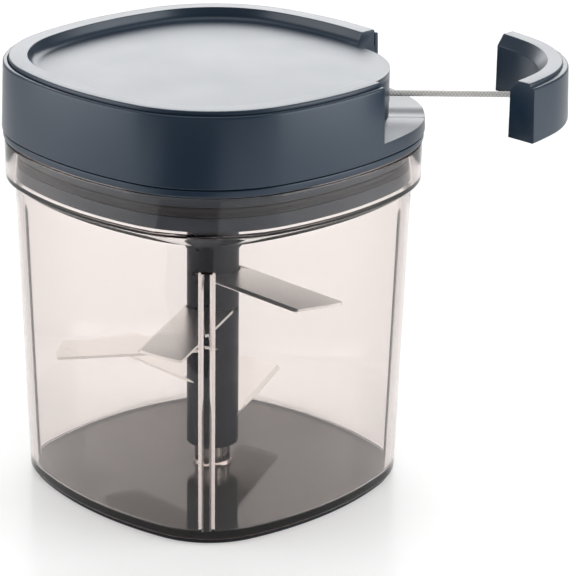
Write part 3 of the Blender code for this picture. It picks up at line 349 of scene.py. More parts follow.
class Recipe:
    """One material: its node tree, its Principled shader and a way to add nodes."""

    def __init__(self, name, **values):
        self.material = bpy.data.materials.new(name)
        self.material.use_nodes = True
        self.tree = self.material.node_tree
        self.shader = self.tree.nodes["Principled BSDF"]
        self.output = self.tree.nodes["Material Output"]
        for label, value in values.items():
            self.shader.inputs[label.replace("_", " ")].default_value = value

    def node(self, kind, settings=None, sockets=None, out=0):
        """Add a node: settings first, then values or links of its sockets."""
        made = self.tree.nodes.new(kind)
        for label, value in (settings or {}).items():
            setattr(made, label, value)
        for label, value in (sockets or {}).items():
            self.join(value, made.inputs[label])
        return Wire(self, made.outputs[out])

    def join(self, value, socket):
        if isinstance(value, Wire):
            self.tree.links.new(value.socket, socket)
        else:
            socket.default_value = value

    def place(self, stretch=(1, 1, 1)):
        """Object coordinates, stretched by a Mapping node."""
        here = self.node("ShaderNodeTexCoord", out=OBJECT_OUTPUT)
        return self.node("ShaderNodeMapping", sockets={"Vector": here, "Scale": stretch})

    def noise(self, scale, detail=3.0, stretch=(1, 1, 1)):
        """Cloudy values from 0 to 1. Scale counts the clouds along a metre."""
        return self.node(
            "ShaderNodeTexNoise",
            sockets={"Vector": self.place(stretch), "Scale": scale, "Detail": detail},
        )

    def mix(self, factor, first, second):
        """A colour between two, by a factor."""
        return self.node(
            "ShaderNodeMix",
            {"data_type": "RGBA"},
            {0: factor, 6: first, 7: second},
            out=2,
        )

    def bump(self, height, strength, distance):
        """Tilt the shading by a height: 1 stands for the distance, in metres."""
        made = self.node(
            "ShaderNodeBump",
            sockets={"Height": height, "Strength": strength, "Distance": distance},
        )
        self.join(made, self.shader.inputs["Normal"])


def dress(piece, material, slot, body, *nodes):
    """Give a new piece its finish and its place: what it rides on and what it replaces."""
    piece.data.materials.clear()
    piece.data.materials.append(material)
    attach(piece, body)
    if nodes:
        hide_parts(*nodes)
    return piece


# %% [markdown]
# Moulded navy plastic has a satin skin: a fine spark-eroded grain that spreads the
# reflections, and faint flow marks that change its colour and gloss. A rough shader alone
# would give an even haze. So a fine noise makes the grain, as a bump, and a slow one the
# flow marks, in the colour and the roughness. The tint cools the reflections, because the
# navy lid looks bluer than the white light that it mirrors.

# %% Moulded plastics
COOL = (0.90, 0.95, 1.0, 1.0)
GRAIN_SCALE = 2600.0
GRAIN_HEIGHT = 0.00004
GRAIN_GLOSS = 0.05
FLOW_SCALE = 38.0
FLOW_GLOSS = 0.08
FLOW_TONES = (0.86, 1.12)


def shade(colour, factor):
    """A colour made darker or lighter by a factor, no brighter than white, with alpha."""
    return (*(min(1.0, factor * part) for part in colour), 1.0)


def moulded(name, colour, roughness, grain=0.10, shine=0.5):
    """Satin plastic with fine grain and slow changes of colour and gloss.

    Its roughness is the given one in the middle of both noises.
    """
    recipe = Recipe(name, Specular_IOR_Level=shine, Specular_Tint=COOL)
    fine = recipe.noise(GRAIN_SCALE, 2.0)
    flow = recipe.noise(FLOW_SCALE, 3.0)
    tone = recipe.mix(flow, shade(colour, FLOW_TONES[0]), shade(colour, FLOW_TONES[1]))
    recipe.join(tone, recipe.shader.inputs["Base Color"])
    least = roughness - (FLOW_GLOSS + GRAIN_GLOSS) / 2
    recipe.join(flow * FLOW_GLOSS + fine * GRAIN_GLOSS + least, recipe.shader.inputs["Roughness"])
    recipe.bump(fine, grain, GRAIN_HEIGHT)
    return recipe.material


navy = moulded("navy_plastic", (0.0110, 0.0255, 0.0470), 0.32)
shaft_navy = moulded("shaft_plastic", (0.006, 0.010, 0.022), 0.34, grain=0.03, shine=0.12)
white = moulded("white_plastic", (0.62, 0.62, 0.58), 0.45)
print("plastics:", navy.name, shaft_navy.name, white.name)

# %% [markdown]
# The cup is clear plastic with a smoky tint. A tinted surface alone would be as light at
# the cup's edges as in its middle. The real plastic takes light along its way through
# the wall, so the shell is closed, has its real wall, and holds a volume that absorbs
# light, blue the most. A look along the wall is longer, so it is darker. Very fine rub
# marks from washing change the gloss.

# %% Smoky clear plastic
SMOKE_TINT = (0.45, 0.24, 0.16, 1.0)
SMOKE_DENSITY = 48.0
RUB_SCALE = 55.0
RUB_GLOSS = 0.05
CLEAR_ROUGHNESS = 0.005

smoke_recipe = Recipe(
    "smoke_plastic",
    Base_Color=(0.95, 0.93, 0.92, 1.0),
    IOR=1.38,
    Transmission_Weight=1.0,
)
rubs = smoke_recipe.noise(RUB_SCALE, 5.0, stretch=(1, 1, 3))
smoke_recipe.join(rubs * RUB_GLOSS + CLEAR_ROUGHNESS, smoke_recipe.shader.inputs["Roughness"])
tint = smoke_recipe.node(
    "ShaderNodeVolumeAbsorption",
    sockets={"Color": SMOKE_TINT, "Density": SMOKE_DENSITY},
)
smoke_recipe.join(tint, smoke_recipe.output.inputs["Volume"])
smoke = smoke_recipe.material
print("light taken on a metre:", [round(SMOKE_DENSITY * (1 - part), 1) for part in SMOKE_TINT[:3]])

# %% [markdown]
# Steel is a metal with fine lines from grinding. Drawn lines would need thousands of
# strokes. A noise that is stretched up to a hundred times along one way looks the same,
# and it drives the roughness and a very small bump.

# %% Metals
LINE_SCALE = 900.0
LINE_HEIGHT = 0.00002
LINE_GLOSS = 0.12
CLOUD_SCALE = 60.0
CLOUD_GLOSS = 0.06


def ground_metal(name, colour, roughness, stretch):
    """Metal with fine lines along the axis whose stretch is small."""
    recipe = Recipe(name, Metallic=1.0)
    lines = recipe.noise(LINE_SCALE, 3.0, stretch)
    cloud = recipe.noise(CLOUD_SCALE, 3.0)
    least = roughness - (LINE_GLOSS + CLOUD_GLOSS) / 2
    recipe.join(lines * LINE_GLOSS + cloud * CLOUD_GLOSS + least, recipe.shader.inputs["Roughness"])
    tone = recipe.mix(cloud, shade(colour, 0.9), shade(colour, 1.0))
    recipe.join(tone, recipe.shader.inputs["Base Color"])
    recipe.bump(lines, 0.12, LINE_HEIGHT)
    return recipe.material


steel = ground_metal("steel", (0.72, 0.72, 0.71), 0.25, (1, 1, 0.02))
blade_steel = ground_metal("blade_steel", (0.93, 0.91, 0.88), 0.3, (0.02, 1, 1))
brass = ground_metal("brass", (0.62, 0.45, 0.18), 0.3, (1, 1, 0.05))
print("metals:", steel.name, blade_steel.name, brass.name)

# %% [markdown]
# The foot pad and the seal are matt rubber, which collects dust. One noise could do for
# both, but the grain is fine and even and the dust lies in patches, so each has its own.

# %% Rubbers
RUBBER_GRAIN_SCALE = 1800.0
RUBBER_GRAIN_HEIGHT = 0.00005
DUST_SCALE = 70.0
DUST_GLOSS = 0.15
DUST_MIDDLE = 0.07


def rubber(name, colour, roughness):
    """Matt rubber with a fine even grain and dusty patches."""
    recipe = Recipe(name, Specular_IOR_Level=0.1)
    grain = recipe.noise(RUBBER_GRAIN_SCALE, 2.0)
    dust = recipe.noise(DUST_SCALE, 4.0)
    tone = recipe.mix(dust, shade(colour, 1.0), shade(colour, 1.5))
    recipe.join(tone, recipe.shader.inputs["Base Color"])
    recipe.join(dust * DUST_GLOSS + (roughness - DUST_MIDDLE), recipe.shader.inputs["Roughness"])
    recipe.bump(grain, 0.35, RUBBER_GRAIN_HEIGHT)
    return recipe.material


pad_rubber = rubber("pad_rubber", (0.020, 0.022, 0.025), 0.7)
seal_rubber = rubber("seal_rubber", (0.035, 0.038, 0.043), 0.5)
print("rubbers:", pad_rubber.name, seal_rubber.name)

# %% [markdown]
# The cord is off-white, with painted shade that greys the dips where its strands meet.
# That painted shade could be a pattern on a UV map, but the braid knows its own dips, so
# it writes them to the mesh as an attribute that this finish reads. A fine noise stands
# for the fibres.

# %% Cord finish, with painted shade in the dips
BEAD_COLOUR = (0.80, 0.79, 0.76, 1.0)
# Painted shade: the grey given to the dips between strands.
DIP_SHADE_COLOUR = (0.42, 0.41, 0.38, 1.0)
FIBRE_SCALE = 5200.0
FIBRE_HEIGHT = 0.00003
FACTOR_OUTPUT = 2

cord_recipe = Recipe("cord", Roughness=0.75)
fibres = cord_recipe.noise(FIBRE_SCALE, 2.0)
hollows = cord_recipe.node("ShaderNodeAttribute", {"attribute_name": "hollow"}, out=FACTOR_OUTPUT)
# Painted shade: the colour goes from the beads' off-white to a grey in the dips.
painted_dip_shade = cord_recipe.mix(hollows, BEAD_COLOUR, DIP_SHADE_COLOUR)
cord_recipe.join(painted_dip_shade, cord_recipe.shader.inputs["Base Color"])
cord_recipe.bump(fibres, 0.4, FIBRE_HEIGHT)
cord_look = cord_recipe.material
print("cord finish:", cord_look.name)

# %% [markdown]
# The cord is one length that leaves the reel, passes the eyelet in the drum wall and
# ends in a knot inside the grip. A slack cord would be a hanging curve, but the spring
# draws this one tight, so it runs straight, with one bend at the eyelet. Its few points
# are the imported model's own, and a smooth curve goes through them.

# %% Cord route
MM = 0.001
CORD_RADIUS = 1.0 * MM
CORD_EXIT_Z = 126.9 * MM
DRUM_REACH = 54.4 * MM
DRUM_WALL = 2.0 * MM
REEL_RADIUS = 18.1 * MM
WIND_RADIUS = REEL_RADIUS + CORD_RADIUS + 0.4 * MM
WIND_TOP_Z = 128.8 * MM
WIND_PITCH = 2.5 * MM
WIND_TURNS = 2.8
GAP = 0.3 * MM
CORD_MOUTH = DRUM_REACH - DRUM_WALL
ROUTE_SPACING = 0.12 * MM

leaving = -np.arccos(WIND_RADIUS / CORD_MOUTH)
leaving_way = np.array([-np.sin(leaving), np.cos(leaving), 0.0])
wind_end = np.array([WIND_RADIUS * np.cos(leaving), WIND_RADIUS * np.sin(leaving), WIND_TOP_Z])
knot_low, knot_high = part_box("cord_knot")
KNOT_X = float(knot_low[0]) - GAP
mouth = np.array([CORD_MOUTH, 0.0, CORD_EXIT_Z])
cord_start = wind_end + leaving_way * (2 * CORD_RADIUS + GAP)
before_bend = mouth + (cord_start - mouth) * 2 * CORD_RADIUS / (CORD_MOUTH - cord_start[0])
cord_points = np.array(
    [
        cord_start,
        (cord_start + before_bend) / 2,
        before_bend,
        mouth,
        [DRUM_REACH + CORD_RADIUS, 0.0, CORD_EXIT_Z],
        [(DRUM_REACH + KNOT_X) / 2, 0.0, CORD_EXIT_Z],
        [KNOT_X, 0.0, CORD_EXIT_Z],
    ]
)


def smooth_route(points, spacing):
    """Catmull-Rom curve through the points, resampled at an even spacing."""
    ends = np.vstack([2 * points[0] - points[1], points, 2 * points[-1] - points[-2]])
    t = np.linspace(0, 1, 24, endpoint=False)[None, :, None]
    before, here, after, beyond = (ends[k : len(ends) - 3 + k, None, :] for k in range(4))
    fine = here + 0.5 * (
        (after - before) * t
        + (2 * before - 5 * here + 4 * after - beyond) * t**2
        + (3 * here - before - 3 * after + beyond) * t**3
    )
    fine = np.vstack([fine.reshape(-1, 3), points[-1]])
    steps = np.linalg.norm(np.diff(fine, axis=0), axis=1)
    far = np.concatenate([[0], np.cumsum(steps)])
    wanted = np.linspace(0, far[-1], max(3, int(round(far[-1] / spacing)) + 1))
    return np.column_stack([np.interp(wanted, far, fine[:, k]) for k in range(3)])


route = smooth_route(cord_points, ROUTE_SPACING)
print("points along the cord:", len(route))

# %% [markdown]
# The cord is a fine braid. Its strands could be swept one by one, but they are too fine
# to be told apart from a step away. So the surface is one tube whose radius rises and
# falls with the strands, and the dips between them are darkened by painted shade.

# %% Braid
STRANDS = 4
STRAND_LAY = 1.1 * MM
STRAND_DEPTH = 0.16
DIP_START = 0.9
DIP_FALL = 2.6
BRAID_SHARP = np.radians(80.0)


def braided_cord(name, path, radius, around=32):
    """A closed tube along a path: radius times (1 - depth + depth x wave of the strands).

    The wave is the product of two that wind opposite ways, so the strands cross and
    leave rows of small beads, each row half a bead on from the next.
    """
    path = np.asarray(path)
    ways = np.gradient(path, axis=0)
    ways /= np.linalg.norm(ways, axis=1, keepdims=True)
    side = np.cross(ways, [0.0, 0.0, 1.0])
    side /= np.linalg.norm(side, axis=1, keepdims=True)
    rise = np.cross(side, ways)
    far = np.concatenate([[0], np.cumsum(np.linalg.norm(np.diff(path, axis=0), axis=1))])
    angle = 2 * np.pi * np.arange(around) / around
    turn, lay = STRANDS * angle[None, :] / 2, np.pi * far[:, None] / STRAND_LAY
    wave = np.abs(np.cos(turn + lay) * np.cos(turn - lay))
    reach = radius * (1 - STRAND_DEPTH + STRAND_DEPTH * wave)[..., None]
    cosine, sine = np.cos(angle)[None, :, None], np.sin(angle)[None, :, None]
    ring = side[:, None, :] * cosine + rise[:, None, :] * sine
    tube = skin(name, path[:, None, :] + reach * ring, sharp=BRAID_SHARP)
    # The share of painted shade at each point, highest in the dips between strands.
    hollow = tube.data.attributes.new("hollow", "FLOAT", "POINT")
    dips = np.clip(DIP_START - DIP_FALL * wave, 0, 1)
    hollow.data.foreach_set("value", dips.astype(np.float32).ravel())
    return tube, float(far[-1])


pull_cord, cord_length = braided_cord("pull_cord_braid", route, CORD_RADIUS)
pull_cord.data.materials.append(cord_look)
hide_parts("pull_cord")
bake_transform(pull_cord)
print("free cord, metres:", round(cord_length, 4))

# %% [markdown]
# The rest of the cord lies on the reel. It is not seen while the lid is closed, and a
# ring would do, but the same braid along a helix is as easy and keeps its length. The
# helix climbs to the height of the exit and ends in a short straight tail.

# %% Winding on the reel
WIND_STEPS = 400
TAIL_SHARES = np.linspace(0.15, 1, 6)

wind_share = np.linspace(0, 1, int(WIND_TURNS * WIND_STEPS))
wind_angle = leaving - 2 * np.pi * WIND_TURNS * (1 - wind_share)
winding_path = np.column_stack(
    [
        WIND_RADIUS * np.cos(wind_angle),
        WIND_RADIUS * np.sin(wind_angle),
        WIND_TOP_Z - WIND_PITCH * WIND_TURNS * (1 - wind_share),
    ]
)
tail = TAIL_SHARES[:, None] * leaving_way * 2 * CORD_RADIUS
winding_path = np.vstack([winding_path, wind_end + tail])
winding, winding_length = braided_cord("reel_winding", winding_path, CORD_RADIUS, around=16)
dress(winding, cord_look, "cord", "reel", "cord_winding")
print("cord on the reel, metres:", round(winding_length, 4))

# %% [markdown]
# The knot holds the cord's end in the grip. A true knot is a long tangle that nobody
# sees in its pocket, so it is a ball with slanting lobes where the cord passes over
# itself: a sphere whose radius dips along slanted lines.

# %% Knot
LOBE_DEPTH = 0.10
LOBE_COUNT = 2.5
LOBE_SLANT = 2.2
POLE_GAP = 0.02
POLE_SHARE = 0.98

knot_middle = (np.asarray(knot_low) + np.asarray(knot_high)) / 2
knot_radius = float(knot_high[0] - knot_low[0]) / 2
turn_u = np.linspace(POLE_GAP, np.pi - POLE_GAP, 40)[:, None]
turn_v = 2 * np.pi * np.arange(60)[None, :] / 60
lobes = 1 - LOBE_DEPTH * np.abs(np.sin(LOBE_COUNT * turn_v + LOBE_SLANT * turn_u))
knot_grid = np.stack(
    [
        knot_middle[0] + knot_radius * POLE_SHARE * np.cos(turn_u) * np.ones_like(turn_v),
        knot_middle[1] + knot_radius * lobes * np.sin(turn_u) * np.cos(turn_v),
        knot_middle[2] + knot_radius * lobes * np.sin(turn_u) * np.sin(turn_v),
    ],
    axis=-1,
)
knot = skin("cord_end_knot", knot_grid[::-1])
dress(knot, cord_look, "cord", "handle", "cord_knot")
print("knot radius, mm:", round(knot_radius / MM, 2))

# %% [markdown]

# %% [markdown]
# The cup's wall leans out as it rises, then steps out over a soft shoulder into a collar
# that takes the lid. A sheet with a thickness would have the same wall all over. One
# profile that runs up the outside, over the rim and down the inside to the floor lets
# the shoulder, the rim and the floor each have their own, and light bends in them as in
# the real cup.

# %% Cup sizes
CUP_BOTTOM_Z = 1.5 * MM
CUP_BASE = 59.3 * MM
CUP_TOP = 62.1 * MM
CUP_WALL = 2.4 * MM
CUP_FLOOR_TOP_Z = 3.3 * MM
LEDGE_Z = 100.8 * MM
LEDGE_TOP_Z = 101.9 * MM
SHOULDER_Z = 97.8 * MM
RIM_Z = 113.2 * MM
COLLAR = 65.1 * MM
COLLAR_WALL = 2.4 * MM
FLAT_EDGE = 9.0 * MM
SHOULDER_OUT = 1.3 * MM
SHOULDER_RISE = 1.9 * MM
OUTSIDE_ROUNDS = MM * np.array([0, 1.2, 3.0, 0])
COLLAR_ROUNDS = MM * np.array([0, 0.4, 0.7, 0.5, 0])
INSIDE_ROUNDS = MM * np.array([0, 0, 2.0, 0])
LEDGE_INSET = 0.9 * MM
LEDGE_LIFT = 0.1 * MM
RIB_WIDTH = 5.1 * MM
RIB_DEPTH = 1.9 * MM
RIB_TOP_Z = 89.2 * MM
RIB_CLEAR_Z = RIB_TOP_Z + 0.5 * MM
print("cup height with its rim, mm:", round((RIM_Z - CUP_BOTTOM_Z) / MM, 1))

# %% Cup profile


def wall_at(z):
    """How far the cup's inner wall stands from the axis at a height: a straight lean."""
    lean = (CUP_TOP - CUP_BASE) / (SHOULDER_Z - CUP_FLOOR_TOP_Z)
    return CUP_BASE - CUP_WALL + lean * (z - CUP_FLOOR_TOP_Z)


def cup_rings():
    """The cup's profile as rings. The collar follows the lid's plan, the rest its own.

    A ring just over the ribs keeps the shading of their tops off the wall above them.
    """
    outside = rounded(
        [
            (CUP_BASE - FLAT_EDGE, CUP_BOTTOM_Z),
            (CUP_BASE, CUP_BOTTOM_Z),
            (CUP_TOP, SHOULDER_Z),
            (CUP_TOP + SHOULDER_OUT, SHOULDER_Z + SHOULDER_RISE),
        ],
        OUTSIDE_ROUNDS,
    )
    collar = rounded(
        [
            (COLLAR - LEDGE_INSET, LEDGE_Z),
            (COLLAR, LEDGE_Z + LEDGE_LIFT),
            (COLLAR, RIM_Z),
            (COLLAR - COLLAR_WALL, RIM_Z),
            (COLLAR - COLLAR_WALL, LEDGE_TOP_Z),
        ],
        COLLAR_ROUNDS,
        7,
    )
    inside = rounded(
        [
            (CUP_TOP - CUP_WALL, SHOULDER_Z),
            (wall_at(RIB_CLEAR_Z), RIB_CLEAR_Z),
            (CUP_BASE - CUP_WALL, CUP_FLOOR_TOP_Z),
            (CUP_BASE - CUP_WALL - FLAT_EDGE, CUP_FLOOR_TOP_Z),
        ],
        INSIDE_ROUNDS,
        8,
    )
    plans = (CUP_SHARES, LID_SHARES, CUP_SHARES)
    return np.concatenate([rings_of(*pair) for pair in zip((outside, collar, inside), plans)])


cup = skin("cup", cup_rings())
print("cup faces before its ribs:", len(cup.data.polygons))

# %% [markdown]
# Four upright ribs inside the corners push the food back into the blades. A box would
# bend light in two thin lines. The real rib shows as two broad bands beside a narrow
# core, so its front swells from both sides along a quarter of a sine wave and is flat
# in the middle. It is joined to the wall, so both are one piece of plastic.

# %% Ribs
RIB_SIDE_SHARE = 0.75
RIB_END_SHARE = 0.5
ROOT = 1.0 * MM


def corner_rib(number):
    """An upright rib on the wall's slope, turned to its corner.

    Across it, the front stands out by depth times the sine of a right angle times how
    far in from the side, as a share. Towards the top the depth falls as a cosine.
    """
    half = RIB_WIDTH / 2
    sweep = np.linspace(-1, 1, 21)
    swell = np.sin(np.clip((1 - np.abs(sweep)) / RIB_SIDE_SHARE, 0, 1) * np.pi / 2)
    bend = np.linspace(0, np.pi / 2, 6)[:-1]
    heights = np.concatenate([[CUP_FLOOR_TOP_Z - ROOT], RIB_TOP_Z - RIB_DEPTH * (1 - np.sin(bend))])
    fade = np.concatenate([[1.0], np.maximum(np.cos(bend), RIB_END_SHARE)])
    rings = []
    for z, share in zip(heights, fade):
        wall = wall_at(z)
        front = wall - RIB_DEPTH * share * swell
        x = np.concatenate([[wall + CUP_WALL / 2], front, [wall + CUP_WALL / 2]])
        y = np.concatenate([[half], -half * sweep, [-half]])
        rings.append(lift(np.column_stack([x, y]), z)[::-1])
    rib = skin("rib", rings)
    rib.data.transform(Matrix.Rotation(number * np.pi / 2, 4, "Z"))
    return rib


for corner in range(4):
    carve(cup, corner_rib(corner), "UNION")
print("cup faces with its ribs:", len(cup.data.polygons))

# %% [markdown]
# A boss on the floor holds the steel pin that the shaft turns on. It could be a plain
# tube, but a moulded one has a flared root. It is turned from its own profile, joined to
# the floor, and then drilled for the pin.

# %% Boss
PIN_RADIUS = 3.0 * MM
BOSS_RADIUS = 5.6 * MM
BOSS_TOP_Z = 10.3 * MM
BOSS_FLARE = 1.2 * MM
BOSS_ROUNDS = MM * np.array([0, 0.8, 0.5, 0])
HOLE_COUNT = 48

boss_profile = rounded(
    [
        (BOSS_RADIUS + BOSS_FLARE, CUP_FLOOR_TOP_Z - ROOT),
        (BOSS_RADIUS, CUP_FLOOR_TOP_Z + BOSS_FLARE),
        (BOSS_RADIUS, BOSS_TOP_Z),
        (PIN_RADIUS + GAP, BOSS_TOP_Z),
    ],
    BOSS_ROUNDS,
)
carve(cup, skin("boss", turned_rings(boss_profile, HOLE_COUNT)), "UNION")
hole = [(PIN_RADIUS + GAP, CUP_FLOOR_TOP_Z), (PIN_RADIUS + GAP, BOSS_TOP_Z + MM)]
carve(cup, skin("hole", turned_rings(hole, HOLE_COUNT)))
smooth(cup.data)
dress(cup, smoke, "smoke_plastic", "container", "container")
print("cup faces:", len(cup.data.polygons))

# %% [markdown]
# A thin rubber pad under the cup keeps it from sliding. Seen through the plastic it
# darkens the whole floor. It is skinned on the cup's own plan, because a scaled copy
# would not keep an even edge.

# %% Foot pad
PAD_HEIGHT = 1.2 * MM
PAD_REACH = 57.9 * MM
PAD_EDGE = 6.0 * MM
PAD_ROUNDS = MM * np.array([0, 0.4, 0.3, 0])

pad_profile = rounded(
    [
        (PAD_REACH - PAD_EDGE, 0),
        (PAD_REACH, 0),
        (PAD_REACH, PAD_HEIGHT),
        (PAD_REACH - PAD_EDGE, PAD_HEIGHT),
    ],
    PAD_ROUNDS,
)
pad = skin("foot_pad", rings_of(pad_profile, CUP_SHARES))
dress(pad, pad_rubber, "pad_rubber", "container", "base_pad")
print("pad reach, mm:", round(PAD_REACH / MM, 1))

# %% [markdown]
# The shaft is a stack of sleeves with the blades clamped between them. One long tube
# would look the same from afar, but then no fine lines would show where two sleeves
# meet. Each sleeve is a turned ring with its edges eased. Half a rim on a sleeve's top
# closes in the back of the blade's hub that lies on it.

# %% Shaft sleeves
SHAFT_RADIUS = 8.15 * MM
SLEEVE_BORE = 5.3 * MM
EASE = 0.2 * MM
CLAMP = 0.24 * MM
HUB_SEAT = 7.3 * MM
RIM_SINK = 0.3 * MM
RIM_INSET = 0.02 * MM
SEAT_HEIGHT = 1.4 * MM
BLADE_TOP_BEARING = np.radians(312.5)
BLADE_TURN = np.radians(-60.0)
BLADE_COUNT = 5


def blade_bearing(number):
    """Bearing of a blade, counted from the lowest one up."""
    return BLADE_TOP_BEARING + (BLADE_COUNT - 1 - number) * BLADE_TURN


def sleeve(name, outer, inner, low, high, ease=EASE):
    """A turned ring with eased outer edges."""
    profile = rounded(
        [(inner, low), (outer, low), (outer, high), (inner, high)],
        [0, ease, ease, 0],
        4,
    )
    return skin(name, turned_rings(profile), closed=True)


def half_rim(low, bearing):
    """Half a rim on a sleeve, on the side that its blade leaves free."""
    high = low + RIM_SINK + SEAT_HEIGHT
    outer = SHAFT_RADIUS - RIM_INSET
    profile = [(HUB_SEAT, low), (outer, low), (outer, high), (HUB_SEAT, high)]
    rim = skin("rim", turned_rings(profile), closed=True)
    far = 2 * SHAFT_RADIUS
    side = block("side", [(-GAP, -far), (far, -far), (far, far), (-GAP, far)], low - MM, high + MM)
    side.data.transform(Matrix.Rotation(bearing, 4, "Z"))
    return carve(rim, side)


for number in range(BLADE_COUNT + 1):
    node = "shaft_sleeve_%d" % (number + 1)
    low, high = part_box(node)
    foot = low[2] - (CLAMP if number > 0 else 0)
    if number < BLADE_COUNT:
        ring = sleeve("sleeve_%d" % (number + 1), SHAFT_RADIUS, SLEEVE_BORE, foot, high[2] + CLAMP)
        carve(ring, half_rim(high[2] - RIM_SINK, blade_bearing(number)), "UNION")
        smooth(ring.data)
    else:
        ring = sleeve("sleeve_%d" % (number + 1), SHAFT_RADIUS, SLEEVE_BORE, foot, high[2])
    dress(ring, shaft_navy, "shaft_plastic", "blades", node)
print("sleeves:", BLADE_COUNT + 1)

# %% [markdown]
# A blade is a flat strip: a round hub with a hole, a straight body and a swept tip. A
# cut sheet with a bevel would have the same edge all round, but only the cutting edge is
# ground. So three outlines are skinned, and the uppermost is drawn in along that edge
# alone.

# %% Blades
BLADE_WIDTH = 15.8 * MM
BLADE_REACH = 46.2 * MM
BLADE_SWEEP = 4.5 * MM
BLADE_HUB = 7.1 * MM
BLADE_THICK = 0.9 * MM
BLADE_NECK = 4.0 * MM
GROUND_EDGE = 1.3 * MM
GROUND_POWER = 8
EDGE_SHARE = 0.25
TIP_SHARES = (0.8, 0.4)
BLADE_ROUNDS = MM * np.array([0, 3.0, 2.4, 1.5, 0.8, 3.0, 0])
BLADE_SHARP = np.radians(12.0)


def blade_outline(grind, count=220):
    """A blade's plan along +X, resampled evenly, with its cutting edge ground away.

    The edge moves in by the grind times a high power of how near it the point lies, and
    the grinding fades in over one neck's length from the hub.
    """
    half = BLADE_WIDTH / 2
    back = np.pi / 2 + np.pi * np.linspace(0, 1, 40)
    hub = np.column_stack([BLADE_HUB * np.cos(back), BLADE_HUB * np.sin(back)])
    corners = rounded(
        [
            (0, -BLADE_HUB),
            (BLADE_NECK, -half),
            (BLADE_REACH, -half),
            (BLADE_REACH + BLADE_SWEEP * TIP_SHARES[0], half * TIP_SHARES[1]),
            (BLADE_REACH + BLADE_SWEEP, half),
            (BLADE_NECK, half),
            (0, BLADE_HUB),
        ],
        BLADE_ROUNDS,
        8,
    )
    points = np.vstack([hub, corners[1:-1]])
    closed = np.vstack([points, points[:1]])
    far = np.concatenate([[0], np.cumsum(np.linalg.norm(np.diff(closed, axis=0), axis=1))])
    wanted = np.linspace(0, far[-1], count, endpoint=False)
    even = np.column_stack([np.interp(wanted, far, closed[:, k]) for k in range(2)])
    outward = np.clip((even[:, 0] - BLADE_HUB) / BLADE_NECK, 0, 1)
    side = np.clip(-even[:, 1] / half, 0, 1) ** GROUND_POWER
    even[:, 1] += grind * outward * side
    return even


def make_blade(number):
    """One ground blade, turned to its bearing and raised to its height."""
    z = float(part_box("blade_%d" % (number + 1))[0][2])
    levels = [(0.0, 0.0), (0.0, EDGE_SHARE * BLADE_THICK), (GROUND_EDGE, BLADE_THICK)]
    rings = [lift(blade_outline(grind), rise) for grind, rise in levels]
    blade = skin("ground_blade_%d" % (number + 1), rings, sharp=BLADE_SHARP)
    hole = [(SLEEVE_BORE, -MM), (SLEEVE_BORE, BLADE_THICK + MM)]
    carve(blade, skin("hole", turned_rings(hole, 64)))
    blade.data.transform(Matrix.Translation((0, 0, z)) @ Matrix.Rotation(blade_bearing(number), 4, "Z"))
    return dress(blade, blade_steel, "blade_steel", "blades", "blade_%d" % (number + 1))


for number in range(BLADE_COUNT):
    make_blade(number)
print("blade length from the axis, mm:", round((BLADE_REACH + BLADE_SWEEP) / MM, 1))

# %% [markdown]
# The lid base is the lower moulding. Its flange sits on the collar, and its skirt goes
# down inside it, where it shows through the clear plastic. Flange, groove and floor could
# be carved from a block, but each of them runs all round. So one profile runs up the
# outside, past the seal's groove and round the flange, to the mechanism's floor.

# %% Lid base
SKIRT = 62.05 * MM
SKIRT_WALL = 3.6 * MM
SKIRT_Z = 102.2 * MM
GROOVE_Z = 106.6 * MM
GROOVE_TOP_Z = 109.8 * MM
GROOVE_DEPTH = 1.5 * MM
FLANGE = 65.5 * MM
FLANGE_WIDTH = 4.6 * MM
FLANGE_Z = 113.5 * MM
FLANGE_TOP_Z = 115.9 * MM
FLOOR_Z = 108.1 * MM
FLOOR_TOP_Z = 110.5 * MM
HUB_HOLE = 9.5 * MM
BASE_ROUNDS = MM * np.array([0, 0.8, 0.2, 0.2, 0.2, 0.2, 0.3, 0.9, 0.4, 0.5, 0])

base_outside = rounded(
    [
        (SKIRT - SKIRT_WALL, SKIRT_Z),
        (SKIRT, SKIRT_Z),
        (SKIRT, GROOVE_Z),
        (SKIRT - GROOVE_DEPTH, GROOVE_Z),
        (SKIRT - GROOVE_DEPTH, GROOVE_TOP_Z),
        (SKIRT, GROOVE_TOP_Z),
        (SKIRT, FLANGE_Z),
        (FLANGE, FLANGE_Z),
        (FLANGE, FLANGE_TOP_Z),
        (FLANGE - FLANGE_WIDTH, FLANGE_TOP_Z),
        (SKIRT - SKIRT_WALL, FLOOR_TOP_Z),
    ],
    BASE_ROUNDS,
)
bore_way = outline(SKIRT, LID_SHARES)
bore_way = bore_way / np.linalg.norm(bore_way, axis=1, keepdims=True)
bore = [lift(bore_way * HUB_HOLE, z) for z in (FLOOR_TOP_Z, FLOOR_Z)]
under = rings_of([(SKIRT - SKIRT_WALL - MM, FLOOR_Z)], LID_SHARES)
base_rings = np.concatenate([rings_of(base_outside, LID_SHARES), bore, under])
lid_lower = skin("lid_lower", base_rings, closed=True)
dress(lid_lower, navy, "navy_plastic", "lid", "lid_base")
print("lid base faces:", len(lid_lower.data.polygons))

# %% [markdown]
# The seal fills the skirt's groove and touches the collar with two lips, which show as
# two fine lines through the cup. A round cord would show as one, so its outside dips in
# the middle.

# %% Seal
LIP_STAND = 0.3 * MM
LIP_DIP = 0.5 * MM
SEAL_ROUNDS = MM * np.array([0, 0.35, 0.2, 0.35, 0])

